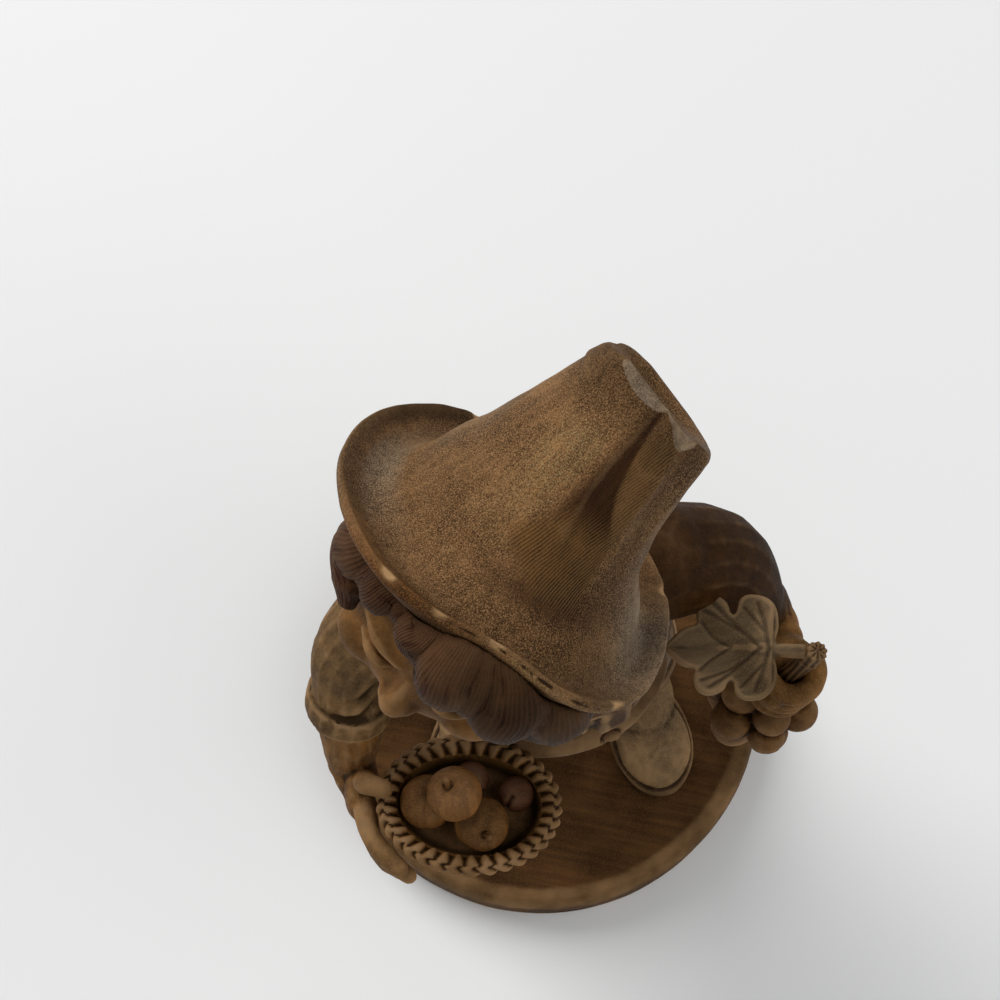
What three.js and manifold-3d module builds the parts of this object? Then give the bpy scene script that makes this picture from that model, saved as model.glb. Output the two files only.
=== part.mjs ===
// A carved wooden boy on a round plinth, with a fruit basket, a bunch of grapes and a tall tilted hat.
// Millimetres, +Z up; the boy faces -Y, his left is +X; the origin is the middle of the plinth's underside.
import * as THREE from "three";
import { mergeVertices } from "three/addons/utils/BufferGeometryUtils.js";
import Module from "manifold-3d";

const wasm = await Module();
wasm.setup();

// Clearances
const GLUE_GAP = 0.3;
const DOWEL_PLAY = 0.2;

// Plinth and its screws
const PLINTH_RADIUS = 39;
const PLINTH_HEIGHT = 12;
const PLINTH_EDGE = 3.5;
const PLINTH_CHAMFER = 0.8;
const SCREW_RADIUS = 1.6;
const SCREW_HEAD_RADIUS = 3.3;
const SCREW_HEAD_HEIGHT = 2;
const SCREW_SINK = 0.6;
const SCREW_GRIP = 13;
const SCREW_SLOT = 0.8;

// Shoes, legs and short trousers; heights are counted from the top of the plinth
const SHOE_LENGTH = 30;
const SHOE_HALF_WIDTH = 6.4;
const SHOE_HEIGHT = 11;
const SOLE_THICKNESS = 2;
const SOLE_EDGE = 0.8;
const ANKLE_RADIUS = 5.2;
const CALF_RADIUS = 6.8;
const KNEE_RADIUS = 6.2;
const THIGH_RADIUS = 7.6;
const STOCKING_TOP = 24;
const STOCKING_ROLL = 1.1;
const HEM_HEIGHT = 34;
const HEM_RADIUS = 9.8;
const HEM_FOLD = 4;
const HEM_RELIEF = 0.7;
const CROTCH_HEIGHT = 47;

// Trunk
const HIP_HEIGHT = 63;
const HIP_HALF_WIDTH = 18;
const WAIST_HEIGHT = 72;
const WAIST_HALF_WIDTH = 17.2;
const BELLY_FRONT = 18;
const CHEST_HEIGHT = 95;
const CHEST_HALF_WIDTH = 19.5;
const CHEST_FRONT = 15;
const TRUNK_BACK = 11.5;
const NECK_HEIGHT = 114;
const NECK_RADIUS = 7;
const SHOULDER_DROP = 9.75;
const ELBOW_DROP = 30;
const SLEEVE_BEND_DROP = 18;
const COLLAR_HEIGHT = 4.5;
const COLLAR_THICKNESS = 2;
const BAND_WIDTH = 5;
const BAND_RELIEF = 0.8;
const BRACE_WIDTH = 4.6;
const BRACE_SPACING = 8.5;
const BRACE_BAR_HEIGHT = 91;

// Head, turned and tipped on the neck
const HEAD_RISE = 26;
const HEAD_HALF_WIDTH = 15.2;
const HEAD_FRONT = 15.2;
const HEAD_BACK = 15.6;
const CHIN_DEPTH = 18;
const CROWN_RISE = 18;
const EAR_HALF_HEIGHT = 4.8;
const NOSE_LENGTH = 3;
const HAIR_DEPTH = 2.2;
const LOCK_COUNT = 14;
const LOCK_RADIUS = 3;
const LOCK_LENGTH = 11;
const LOCK_SWEEP = 14;
const HEAD_TURN = -45;
const HEAD_LIFT = -6;
const HEAD_LEAN = 8;

// Hat, in its own frame: the origin is the middle of the brim, the crown stands along +Z
const BRIM_RADIUS = 23.3;
const BRIM_THICKNESS = 1.8;
const BRIM_RISE = 2.2;
const HAT_CROWN_HEIGHT = 33;
const HAT_CROWN_RADIUS = 16.2;
const HAT_TOP_RADIUS = 7.4;
const HAT_END_HEIGHT = 29.5;
const HAT_END_SLANT = -22;
const END_SCOOP_RADIUS = 16;
const END_SCOOP_DEPTH = 1.4;
const HAT_SEAT = 4.5;
const HAT_TIP_BACK = -41;
const HAT_TIP_SIDE = 2;
const GOUGE_RADIUS = 9;

// Arms
const SHOULDER_RADIUS = 7;
const SLEEVE_RADIUS = 6;
const CUFF_WIDTH = 4;
const CUFF_RELIEF = 0.9;
const FOREARM_RADIUS = 4.9;
const WRIST_RADIUS = 3.9;
const FINGER_RADIUS = 1.55;

// Basket and fruit, in the basket's frame: the origin is the middle of its underside
const BASKET_HALF_LENGTH = 12.2;
const BASKET_HALF_DEPTH = 9;
const BASKET_HEIGHT = 12;
const BASKET_FOOT = 0.84;
const BASKET_FLOOR = 7.5;
const BASKET_WALL = 1.7;
const BASKET_RIM = 1.1;
const APPLE_RADIUS = 3.9;
const PLUM_RADIUS = 2.6;

// Grapes, stem and leaf
const GRAPE_RADIUS = 2.9;
const BUNCH_LENGTH = 22;
const BUNCH_RADIUS = 7;
const STEM_RADIUS = 1.3;
const STEM_RISE = 12;
const STEM_GRIP = 6;
const LEAF_LENGTH = 14;
const LEAF_HALF_WIDTH = 7;
const LEAF_THICKNESS = 1.4;
const LEAF_FOLD = 14;
const LEAF_STALK = 4;
const LEAF_TURN = 168;
const LEAF_DROOP = 12;

// Dowels
const DOWEL_RADIUS = 2;
const DOWEL_LENGTH = 12;
const BASKET_DOWEL_RADIUS = 1.5;
const BASKET_DOWEL_LENGTH = 10;

// Smoothness
const FINE_SIDES = 40;
const BODY_SIDES = 20;
const LIMB_SIDES = 12;
const FINGER_SIDES = 6;
const GRAPE_SIDES = 8;
const WELD = 1e-4;
const FAR = 120;

// Where the parts meet, counted from the top of the plinth
const RIGHT_ANKLE = point(-12, 0.5, 0);
const LEFT_ANKLE = point(16, -0.5, 0);
const RIGHT_SHOE_TURN = -12;
const LEFT_SHOE_TURN = 8;
const RIGHT_SHOULDER = point(-21.5, -5.5, NECK_HEIGHT - SHOULDER_DROP);
const RIGHT_SLEEVE_BEND = point(-28, -8, NECK_HEIGHT - SLEEVE_BEND_DROP - 1);
const RIGHT_ELBOW = point(-30.5, -13, NECK_HEIGHT - ELBOW_DROP - 1);
const LEFT_SHOULDER = point(13, -4, NECK_HEIGHT - SHOULDER_DROP);
const LEFT_SLEEVE_BEND = point(20.8, -4.5, NECK_HEIGHT - SLEEVE_BEND_DROP + 1);
const LEFT_ELBOW = point(26.5, -8.5, NECK_HEIGHT - ELBOW_DROP + 1);
const NECK_FOOT = point(-7.5, -7.5, NECK_HEIGHT);
const HEAD_CENTRE = point(NECK_FOOT.x - 3.3, NECK_FOOT.y - 5, NECK_HEIGHT + HEAD_RISE);
const BASKET_PLACE = point(-15.9, -28.8, 62);
const BASKET_TURN = -12;
const FIST_CENTRE = point(30, -19, LEFT_ELBOW.z + 1.5);
const BUNCH_LEAN = 8;

const WALNUT = { color: 0x6a4424, roughness: 0.5, metalness: 0 };
const DARK_WALNUT = { color: 0x3c2412, roughness: 0.45, metalness: 0 };
const HONEY_WOOD = { color: 0x8d6032, roughness: 0.5, metalness: 0 };
const BEECH = { color: 0xb48a5a, roughness: 0.7, metalness: 0 };
const STEEL = { color: 0x9a9a98, roughness: 0.35, metalness: 1 };

function point(x, y, z) {
  return new THREE.Vector3(x, y, z);
}

function radians(degrees) {
  return THREE.MathUtils.degToRad(degrees);
}

// A smooth curve through evenly spaced numbers, read at t from 0 to 1.
function through(values, t) {
  const last = values.length - 1;
  const start = Math.min(Math.floor(t * last), last - 1);
  const part = t * last - start;
  const at = (index) => values[THREE.MathUtils.clamp(index, 0, last)];
  const [before, from, to, after] = [at(start - 1), at(start), at(start + 1), at(start + 2)];
  const cubic = 3 * (from - to) + after - before;
  const square = 2 * before - 5 * from + 4 * to - after;
  return from + 0.5 * part * (to - before + part * (square + part * cubic));
}

// A closed skin over rings of equally many points, each ring counter-clockwise seen from the last one.
function loft(rings) {
  const sides = rings[0].length;
  const points = [...rings.flat(), middleOf(rings[0]), middleOf(rings.at(-1))];
  const foot = points.length - 2;
  const top = points.length - 1;
  const faces = [];
  for (let side = 0; side < sides; side += 1) {
    const next = (side + 1) % sides;
    faces.push(foot, next, side);
    for (let ring = 0; ring < rings.length - 1; ring += 1) {
      const low = ring * sides;
      const high = low + sides;
      faces.push(low + side, low + next, high + next, low + side, high + next, high + side);
    }
    const rim = (rings.length - 1) * sides;
    faces.push(top, rim + side, rim + next);
  }
  return new THREE.BufferGeometry().setFromPoints(points).setIndex(faces);
}

function middleOf(ring) {
  const sum = ring.reduce((total, each) => total.add(each), point(0, 0, 0));
  return sum.divideScalar(ring.length);
}

// A ring of an upright form: half a width to each side, its own reach to the front (-Y) and to the back.
function level({ x = 0, y = 0, z, half, front = half, back = half }, sides, grow = 0) {
  return Array.from({ length: sides }, (_, side) => {
    const angle = (2 * Math.PI * side) / sides;
    const reach = Math.sin(angle) < 0 ? front : back;
    return point(x + (half + grow) * Math.cos(angle), y + (reach + grow) * Math.sin(angle), z);
  });
}

function levelAt(levels, t) {
  const full = levels.map((each) => ({ x: 0, y: 0, front: each.half, back: each.half, ...each }));
  const value = (key) => through(full.map((each) => each[key]), t);
  return Object.fromEntries(["x", "y", "z", "half", "front", "back"].map((key) => [key, value(key)]));
}

// An upright form through its levels, smoothed between them.
function column(levels, { sides = BODY_SIDES, steps = 3 * (levels.length - 1), grow = 0 } = {}) {
  const shares = Array.from({ length: steps + 1 }, (_, step) => step / steps);
  return loft(shares.map((share) => level(levelAt(levels, share), sides, grow)));
}

// A round limb along a curve, with a radius at each point and rounded ends.
function limb(points, radii, { sides = LIMB_SIDES, steps = 3 * (points.length - 1) } = {}) {
  const curve = new THREE.CatmullRomCurve3(points, false, "centripetal");
  const frames = curve.computeFrenetFrames(steps, false);
  const ring = (step, radius, shift) =>
    Array.from({ length: sides }, (_, side) => {
      const angle = (2 * Math.PI * side) / sides;
      return curve
        .getPointAt(step / steps)
        .addScaledVector(frames.tangents[step], shift)
        .addScaledVector(frames.normals[step], radius * Math.cos(angle))
        .addScaledVector(frames.binormals[step], radius * Math.sin(angle));
    });
  const radiusAt = (step) => through(radii, curve.getUtoTmapping(step / steps));
  const rings = [];
  for (const turn of [75, 40]) {
    const radius = radiusAt(0);
    rings.push(ring(0, radius * Math.cos(radians(turn)), -radius * Math.sin(radians(turn))));
  }
  for (let step = 0; step <= steps; step += 1) rings.push(ring(step, radiusAt(step), 0));
  for (const turn of [40, 75]) {
    const radius = radiusAt(steps);
    rings.push(ring(steps, radius * Math.cos(radians(turn)), radius * Math.sin(radians(turn))));
  }
  return loft(rings);
}

// A turned form: pairs of radius and height, from the axis at the bottom to the axis at the top.
function turned(profile, sides = FINE_SIDES) {
  const outline = profile.map(([radius, height]) => new THREE.Vector2(radius, height));
  return new THREE.LatheGeometry(outline, sides).rotateX(Math.PI / 2);
}

function ball(centre, radii, sides = LIMB_SIDES) {
  const sphere = new THREE.SphereGeometry(1, sides, Math.round(sides * 0.6));
  return sphere.scale(radii.x, radii.y, radii.z).translate(centre.x, centre.y, centre.z);
}

function block(width, depth, height, centre) {
  return new THREE.BoxGeometry(width, depth, height).translate(centre.x, centre.y, centre.z);
}

// A round pin between two points.
function pin(from, to, radius, sides = LIMB_SIDES) {
  const along = new THREE.Vector3().subVectors(to, from);
  const middle = new THREE.Vector3().addVectors(from, to).divideScalar(2);
  const turn = new THREE.Quaternion().setFromUnitVectors(point(0, 1, 0), along.clone().normalize());
  const cylinder = new THREE.CylinderGeometry(radius, radius, along.length(), sides);
  return cylinder.applyQuaternion(turn).translate(middle.x, middle.y, middle.z);
}

// A closed geometry as a solid that can be joined and cut.
function solid(geometry) {
  const shape = geometry.clone();
  shape.deleteAttribute("normal");
  shape.deleteAttribute("uv");
  const merged = mergeVertices(shape, WELD);
  const vertProperties = merged.attributes.position.array;
  const triVerts = new Uint32Array(merged.index.array);
  return new wasm.Manifold(new wasm.Mesh({ numProp: 3, vertProperties, triVerts }));
}

function join(...geometries) {
  return geometries.flat().map(solid).reduce((whole, each) => whole.add(each));
}

function piece(name, body, finish) {
  const mesh = body.getMesh();
  const geometry = new THREE.BufferGeometry();
  geometry.setAttribute("position", new THREE.BufferAttribute(mesh.vertProperties, 3));
  geometry.setIndex(new THREE.BufferAttribute(mesh.triVerts, 1));
  const made = new THREE.Mesh(geometry, new THREE.MeshStandardMaterial(finish));
  made.name = name;
  return made;
}

// Plinth

function plinthProfile() {
  const profile = [[0, 0], [PLINTH_RADIUS - PLINTH_CHAMFER, 0], [PLINTH_RADIUS, PLINTH_CHAMFER]];
  for (const turn of [0, 22.5, 45, 67.5, 90]) {
    const out = PLINTH_RADIUS - PLINTH_EDGE + PLINTH_EDGE * Math.cos(radians(turn));
    const up = PLINTH_HEIGHT - PLINTH_EDGE + PLINTH_EDGE * Math.sin(radians(turn));
    profile.push([out, up]);
  }
  return [...profile, [0, PLINTH_HEIGHT]];
}

// A countersunk screw standing on its head, or the hole for it when it is given some play.
function screwBody(ankle, play = 0) {
  const foot = play ? -PLINTH_HEIGHT : SCREW_SINK;
  const neck = SCREW_SINK + SCREW_HEAD_HEIGHT;
  const tip = PLINTH_HEIGHT + SCREW_GRIP;
  const head = SCREW_HEAD_RADIUS + play;
  const shank = SCREW_RADIUS + play;
  const profile = [
    [0, foot],
    [head, foot],
    [head, SCREW_SINK + play],
    [shank, neck + play],
    [shank, tip - 2 * SCREW_RADIUS + play],
    [0, tip + play],
  ];
  return turned(profile, LIMB_SIDES).translate(ankle.x, ankle.y, 0);
}

function screw(name, ankle) {
  const slot = block(FAR, SCREW_SLOT, 2 * SCREW_SLOT, point(ankle.x, ankle.y, SCREW_SINK));
  return piece(name, solid(screwBody(ankle)).subtract(solid(slot)), STEEL);
}

function plinth() {
  const holes = join(screwBody(RIGHT_ANKLE, DOWEL_PLAY), screwBody(LEFT_ANKLE, DOWEL_PLAY));
  return piece("base_plinth", solid(turned(plinthProfile())).subtract(holes), DARK_WALNUT);
}

// Body

// A level of the trunk: its height, its middle, its half width and its reach to the front and the back.
function trunkLevel(z, x, y, half, front, back) {
  return { z, x, y, half, front, back };
}

const RIB_HEIGHT = (WAIST_HEIGHT + CHEST_HEIGHT) / 2;
const TRUNK_LEVELS = [
  trunkLevel(CROTCH_HEIGHT, -1, -1, HIP_HALF_WIDTH - 4, BELLY_FRONT - 8, TRUNK_BACK),
  trunkLevel(HIP_HEIGHT - 8, -1, -2, HIP_HALF_WIDTH - 0.5, BELLY_FRONT - 4, TRUNK_BACK + 2),
  trunkLevel(HIP_HEIGHT, -1.3, -3.5, HIP_HALF_WIDTH, BELLY_FRONT - 1.5, TRUNK_BACK + 1.5),
  trunkLevel(WAIST_HEIGHT, -1.8, -5, WAIST_HALF_WIDTH, BELLY_FRONT, TRUNK_BACK),
  trunkLevel(RIB_HEIGHT, -2.6, -5.5, CHEST_HALF_WIDTH - 1.4, BELLY_FRONT - 0.8, TRUNK_BACK),
  trunkLevel(CHEST_HEIGHT, -3.6, -5.5, CHEST_HALF_WIDTH, CHEST_FRONT, TRUNK_BACK),
  trunkLevel(NECK_HEIGHT - 10.5, -4.6, -5.5, CHEST_HALF_WIDTH - 1.5, CHEST_FRONT - 3, TRUNK_BACK),
  trunkLevel(NECK_HEIGHT - 5, -5.6, -6, CHEST_HALF_WIDTH - 5.5, CHEST_FRONT - 5, TRUNK_BACK - 1),
  trunkLevel(NECK_HEIGHT, NECK_FOOT.x, NECK_FOOT.y, NECK_RADIUS + 2, NECK_RADIUS + 1, NECK_RADIUS + 1),
];

function trunk(grow) {
  return column(TRUNK_LEVELS, { grow, steps: 12 });
}

// A shoe along -Y from its heel: one skin with the sole's edge standing out under the upper.
function shoe(ankle, turn) {
  const lengths = [0.29, 0.24, 0.1, -0.1, -0.3, -0.5, -0.64, -0.71];
  const widths = [0.45, 0.8, 0.9, 0.92, 1, 1.02, 0.78, 0.36];
  const heights = [0.6, 0.85, 1, 0.96, 0.8, 0.68, 0.56, 0.36];
  const arch = [0, 30, 60, 90, 120, 150, 180].map(radians);
  const rings = lengths.map((share, index) => {
    const half = SHOE_HALF_WIDTH * widths[index];
    const rise = SHOE_HEIGHT * heights[index] - SOLE_THICKNESS;
    const outline = arch.map((angle) => [half * Math.cos(angle), SOLE_THICKNESS + rise * Math.sin(angle)]);
    const edge = half + SOLE_EDGE;
    const sole = [[-edge, SOLE_THICKNESS], [-edge, 0], [edge, 0], [edge, SOLE_THICKNESS]];
    return [...outline, ...sole].map(([across, up]) => point(across, share * SHOE_LENGTH, up));
  });
  return loft(rings).rotateZ(radians(turn)).translate(ankle.x, ankle.y, GLUE_GAP);
}

// A leg from the ankle to the hip: the stocking with its rolled top and the bare knee above it.
function leg(ankle, hip) {
  const along = (share, z, back, half) => ({
    x: THREE.MathUtils.lerp(ankle.x, hip.x, share),
    y: ankle.y + back,
    z,
    half,
  });
  const rolled = CALF_RADIUS + STOCKING_ROLL;
  const stocking = [
    along(0, 4, 0, ANKLE_RADIUS),
    along(0.05, 12, 0.3, ANKLE_RADIUS),
    along(0.15, STOCKING_TOP - 4, 1, CALF_RADIUS),
    along(0.18, STOCKING_TOP - 1, 0.6, rolled),
    along(0.22, STOCKING_TOP + 2, 0.2, rolled),
  ];
  const bare = [
    along(0.2, STOCKING_TOP, 0.3, KNEE_RADIUS),
    along(0.35, 31, -1, KNEE_RADIUS),
    along(1, CROTCH_HEIGHT + 3, -2, THIGH_RADIUS),
  ];
  return [column(stocking, { sides: LIMB_SIDES, steps: 8 }), column(bare, { sides: LIMB_SIDES, steps: 4 })];
}

// One leg of the short trousers, with its turned-up hem.
function trouserLeg(hem, hip) {
  const width = { half: HEM_RADIUS, front: HEM_RADIUS + 0.6, back: HEM_RADIUS + 0.8 };
  const top = { half: HEM_RADIUS - 2, front: HEM_RADIUS + 1, back: HEM_RADIUS - 2 };
  const cloth = column([
    { x: hem.x, y: hem.y, z: HEM_HEIGHT, ...width },
    { x: hem.x, y: hem.y, z: HEM_HEIGHT + 6, ...width },
    { x: hip.x, y: hip.y, z: hip.z, ...top },
  ]);
  const fold = column(
    [
      { x: hem.x, y: hem.y, z: HEM_HEIGHT - 0.6, ...width },
      { x: hem.x, y: hem.y, z: HEM_HEIGHT + HEM_FOLD, ...width },
    ],
    { grow: HEM_RELIEF, steps: 1 },
  );
  return [cloth, fold];
}

// Waistband and braces: strips of a slightly larger trunk.
function bandsAndBraces() {
  const larger = solid(trunk(BAND_RELIEF));
  const middle = TRUNK_LEVELS[4].x;
  const top = NECK_HEIGHT - 1;
  const upright = (side) => {
    const centre = point(middle + side * BRACE_SPACING, 0, (WAIST_HEIGHT + top) / 2);
    return block(BRACE_WIDTH, FAR, top - WAIST_HEIGHT, centre);
  };
  const bar = block(2 * BRACE_SPACING, FAR, BRACE_WIDTH, point(middle, -FAR / 2, BRACE_BAR_HEIGHT));
  const band = block(FAR, FAR, BAND_WIDTH, point(0, 0, WAIST_HEIGHT));
  return larger.intersect(join(upright(-1), upright(1), bar, band));
}

// Turned-down shirt collar around the neck, open under the chin.
function collarCloth(grow) {
  const around = { x: NECK_FOOT.x, y: NECK_FOOT.y };
  const reach = NECK_RADIUS + COLLAR_THICKNESS;
  return column(
    [
      { ...around, z: NECK_HEIGHT - 4 - grow, half: reach + 3.4 },
      { ...around, z: NECK_HEIGHT - 2.5, half: reach + 3 },
      { ...around, z: NECK_HEIGHT + 1, half: reach + 1.2 },
      { ...around, z: NECK_HEIGHT + COLLAR_HEIGHT, half: reach },
    ],
    { steps: 6, grow },
  );
}

function collar() {
  const opening = new THREE.CylinderGeometry(1, 7, 24, 3).rotateX(Math.PI / 2);
  opening.translate(NECK_FOOT.x, NECK_FOOT.y - NECK_RADIUS - COLLAR_THICKNESS - 4, NECK_HEIGHT + 3);
  return solid(collarCloth(0)).subtract(solid(opening));
}

// The neck, in the head's frame, and the room that it takes up above the trunk.
function neck(grow) {
  const foot = NECK_FOOT.clone().setZ(NECK_HEIGHT - 2).applyMatrix4(toHead);
  const radii = [NECK_RADIUS, NECK_RADIUS - 0.4, NECK_RADIUS].map((radius) => radius + grow);
  return limb([foot, point(0, 3, -12), point(0, 2, -4)], radii, { sides: BODY_SIDES });
}

function neckSpace() {
  const above = block(FAR, FAR, FAR, NECK_FOOT.clone().setZ(NECK_HEIGHT + FAR / 2));
  return solid(neck(2 * GLUE_GAP).applyMatrix4(headFrame)).intersect(solid(above));
}

function body(dowelHoles) {
  const rightHip = point(-9.5, -3, HIP_HEIGHT);
  const leftHip = point(7.5, -3, HIP_HEIGHT);
  const forms = [
    trunk(0),
    shoe(RIGHT_ANKLE, RIGHT_SHOE_TURN),
    shoe(LEFT_ANKLE, LEFT_SHOE_TURN),
    leg(RIGHT_ANKLE, rightHip),
    leg(LEFT_ANKLE, leftHip),
    trouserLeg(point(-11, -0.6, 0), rightHip),
    trouserLeg(point(11, -0.8, 0), leftHip),
  ];
  const ankles = [RIGHT_ANKLE, LEFT_ANKLE];
  const screwHoles = ankles.map((ankle) => screwBody(ankle, DOWEL_PLAY).translate(0, 0, -PLINTH_HEIGHT));
  const whole = join(...forms.flat()).add(bandsAndBraces()).add(collar());
  return whole.subtract(neckSpace()).subtract(join(screwHoles, dowelHoles));
}

// Dowels: each is a pin across a glued face; its hole is the same pin with some play.

function dowelEnds(middle, direction, length) {
  const half = direction.clone().normalize().multiplyScalar(length / 2);
  return [middle.clone().sub(half), middle.clone().add(half)];
}

function dowel(middle, direction, radius = DOWEL_RADIUS, length = DOWEL_LENGTH) {
  const [from, to] = dowelEnds(middle, direction, length);
  return pin(from, to, radius);
}

function dowelHole(middle, direction, radius = DOWEL_RADIUS, length = DOWEL_LENGTH) {
  return dowel(middle, direction, radius + DOWEL_PLAY, length + 2 * GLUE_GAP);
}

const RIGHT_SHOULDER_PIN = [RIGHT_SHOULDER.clone().add(point(-1, 0, -2)), point(-1, -0.1, -0.3)];
const LEFT_SHOULDER_PIN = [LEFT_SHOULDER.clone().add(point(0.2, -0.5, -2.5)), point(1, 0, -0.4)];
const NECK_PIN = [NECK_FOOT, point(0, 0, 1)];
const BASKET_PIN = [point(-10.2, -18.9, BASKET_PLACE.z + 0.6 * BASKET_FLOOR), point(-0.5, -0.86, 0)];
const BASKET_PIN_SIZE = [BASKET_DOWEL_RADIUS, BASKET_DOWEL_LENGTH];

// Head, in its own frame: the origin is the middle of the skull, the face looks along -Y

const headTurn = new THREE.Euler(radians(HEAD_LIFT), radians(HEAD_LEAN), radians(HEAD_TURN), "ZXY");
const headFrame = new THREE.Matrix4().makeRotationFromEuler(headTurn).setPosition(HEAD_CENTRE);
const toHead = headFrame.clone().invert();
const hatTip = new THREE.Euler(radians(HAT_TIP_BACK), radians(HAT_TIP_SIDE), 0);
const hatTurn = new THREE.Matrix4().makeRotationFromEuler(hatTip);
const hatAxis = point(0, 0, 1).applyMatrix4(hatTurn);
const hatFrame = hatTurn.clone().setPosition(hatAxis.clone().multiplyScalar(HAT_SEAT));
const HAT_FOOT = -BRIM_THICKNESS;

const HEAD_LEVELS = [
  { z: -CHIN_DEPTH, y: -7, half: 5.5, front: 4.6, back: 5 },
  { z: 2.5 - CHIN_DEPTH, y: -5, half: 9.2, front: 8.8, back: 8 },
  { z: 7 - CHIN_DEPTH, y: -2, half: HEAD_HALF_WIDTH - 2.4, front: HEAD_FRONT - 2.4, back: HEAD_BACK - 4.5 },
  { z: -5, y: -0.5, half: HEAD_HALF_WIDTH - 0.2, front: HEAD_FRONT, back: HEAD_BACK - 1 },
  { z: 2, half: HEAD_HALF_WIDTH, front: HEAD_FRONT - 0.4, back: HEAD_BACK },
  { z: 9, half: HEAD_HALF_WIDTH - 1, front: HEAD_FRONT - 1.6, back: HEAD_BACK - 0.8 },
  { z: CROWN_RISE - 4, half: HEAD_HALF_WIDTH - 4.4, front: HEAD_FRONT - 5, back: HEAD_BACK - 4.4 },
  { z: CROWN_RISE, half: 3.5, front: 3.5, back: 3.5 },
];

function face() {
  const nose = ball(point(0, -HEAD_FRONT, -3), point(2.4, NOSE_LENGTH, 2.3));
  const earSize = point(2.2, 3.4, EAR_HALF_HEIGHT);
  const ears = [-1, 1].map((side) => ball(point(side * HEAD_HALF_WIDTH, 1.5, -2), earSize));
  return [column(HEAD_LEVELS, { steps: 14 }), nose, ears].flat();
}

// The hair behind a line from the forehead to the jaw.
function hairCap() {
  const cap = column(HEAD_LEVELS, { grow: HAIR_DEPTH, steps: 10 });
  const behind = block(FAR, FAR, FAR, point(0, 0, FAR / 2 - 1)).rotateX(radians(-53));
  return solid(cap).intersect(solid(behind));
}

// A point on the hair: turned around the head from the face, raised from its middle, lifted off the scalp.
function onHair(turn, raise, lift) {
  const reach = (Math.cos(turn) > 0 ? HEAD_FRONT : HEAD_BACK) + lift;
  return point(
    (HEAD_HALF_WIDTH + lift) * Math.sin(turn) * Math.cos(raise),
    -reach * Math.cos(turn) * Math.cos(raise),
    (CROWN_RISE + lift) * Math.sin(raise),
  );
}

// How far up the head the brim's underside crosses it, for one direction around the head.
function brimLine(turn) {
  const side = onHair(turn, 0, 0).dot(hatAxis);
  const top = onHair(turn, Math.PI / 2, 0).dot(hatAxis);
  const seat = HAT_SEAT + HAT_FOOT;
  return Math.atan2(top, side) - Math.acos(seat / Math.hypot(top, side));
}

// Locks that come out from under the brim, shorter over the face, swept by turns to both sides.
function locks() {
  return Array.from({ length: LOCK_COUNT }, (_, index) => {
    const turn = (2 * Math.PI * (index + 0.5)) / LOCK_COUNT;
    const sweep = radians(index % 2 ? LOCK_SWEEP : -LOCK_SWEEP / 2);
    const length = (LOCK_LENGTH * (1 - 0.35 * Math.max(Math.cos(turn), 0))) / CROWN_RISE;
    const start = brimLine(turn);
    const points = [
      onHair(turn, start + 0.2, 0.2),
      onHair(turn + 0.2 * sweep, start - 0.25 * length, 1.4),
      onHair(turn + 0.6 * sweep, start - 0.65 * length, 1.5),
      onHair(turn + sweep, start - length, 0.3),
    ];
    const radii = [LOCK_RADIUS * 0.8, LOCK_RADIUS, LOCK_RADIUS * 0.85, LOCK_RADIUS * 0.4];
    return limb(points, radii, { sides: FINGER_SIDES, steps: 4 });
  });
}

function head() {
  const collarSide = NECK_FOOT.clone().setZ(NECK_HEIGHT + GLUE_GAP - FAR / 2);
  const below = block(FAR, FAR, FAR, collarSide).applyMatrix4(toHead);
  const above = block(FAR, FAR, FAR, point(0, 0, HAT_FOOT - GLUE_GAP + FAR / 2)).applyMatrix4(hatFrame);
  const neckHole = dowelHole(...NECK_PIN).applyMatrix4(toHead);
  const hatHole = dowelHole(point(0, 0, HAT_FOOT), point(0, 0, 1)).applyMatrix4(hatFrame);
  const whole = join(face(), neck(0), locks()).add(hairCap());
  return whole.subtract(join(below, above, neckHole, hatHole));
}

// Hat

function crownRadius(height) {
  return THREE.MathUtils.lerp(HAT_CROWN_RADIUS, HAT_TOP_RADIUS, height / HAT_CROWN_HEIGHT);
}

function hatProfile() {
  const under = [
    [0, HAT_FOOT],
    [BRIM_RADIUS - 6, HAT_FOOT],
    [BRIM_RADIUS - 2.6, 0.4 * BRIM_RISE + HAT_FOOT],
  ];
  const rim = [
    [BRIM_RADIUS - 0.4, BRIM_RISE - 0.8 * BRIM_THICKNESS],
    [BRIM_RADIUS, BRIM_RISE - 0.4 * BRIM_THICKNESS],
    [BRIM_RADIUS - 0.5, BRIM_RISE],
  ];
  const dish = [
    [BRIM_RADIUS - 2.8, 0.35 * BRIM_RISE],
    [HAT_CROWN_RADIUS + 3, 0],
    [HAT_CROWN_RADIUS + 1.2, 0.9],
  ];
  const side = [0.11, 0.25, 0.45, 0.65, 0.85].map((share) => {
    const height = share * HAT_CROWN_HEIGHT;
    return [crownRadius(height), height];
  });
  const end = [
    [HAT_TOP_RADIUS, HAT_CROWN_HEIGHT],
    [0, HAT_CROWN_HEIGHT],
  ];
  return [...under, ...rim, ...dish, ...side, ...end];
}

// The room beyond the crown's end, which slants down towards the back and is scooped out a little.
function beyondEnd() {
  const room = block(FAR, FAR, FAR, point(0, 0, FAR / 2));
  const scoopRadii = point(END_SCOOP_RADIUS, END_SCOOP_RADIUS, END_SCOOP_RADIUS);
  const scoop = ball(point(0, 0, END_SCOOP_RADIUS - END_SCOOP_DEPTH), scoopRadii, FINE_SIDES);
  return [room, scoop].map((each) => each.rotateX(radians(HAT_END_SLANT)).translate(0, 0, HAT_END_HEIGHT));
}

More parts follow.
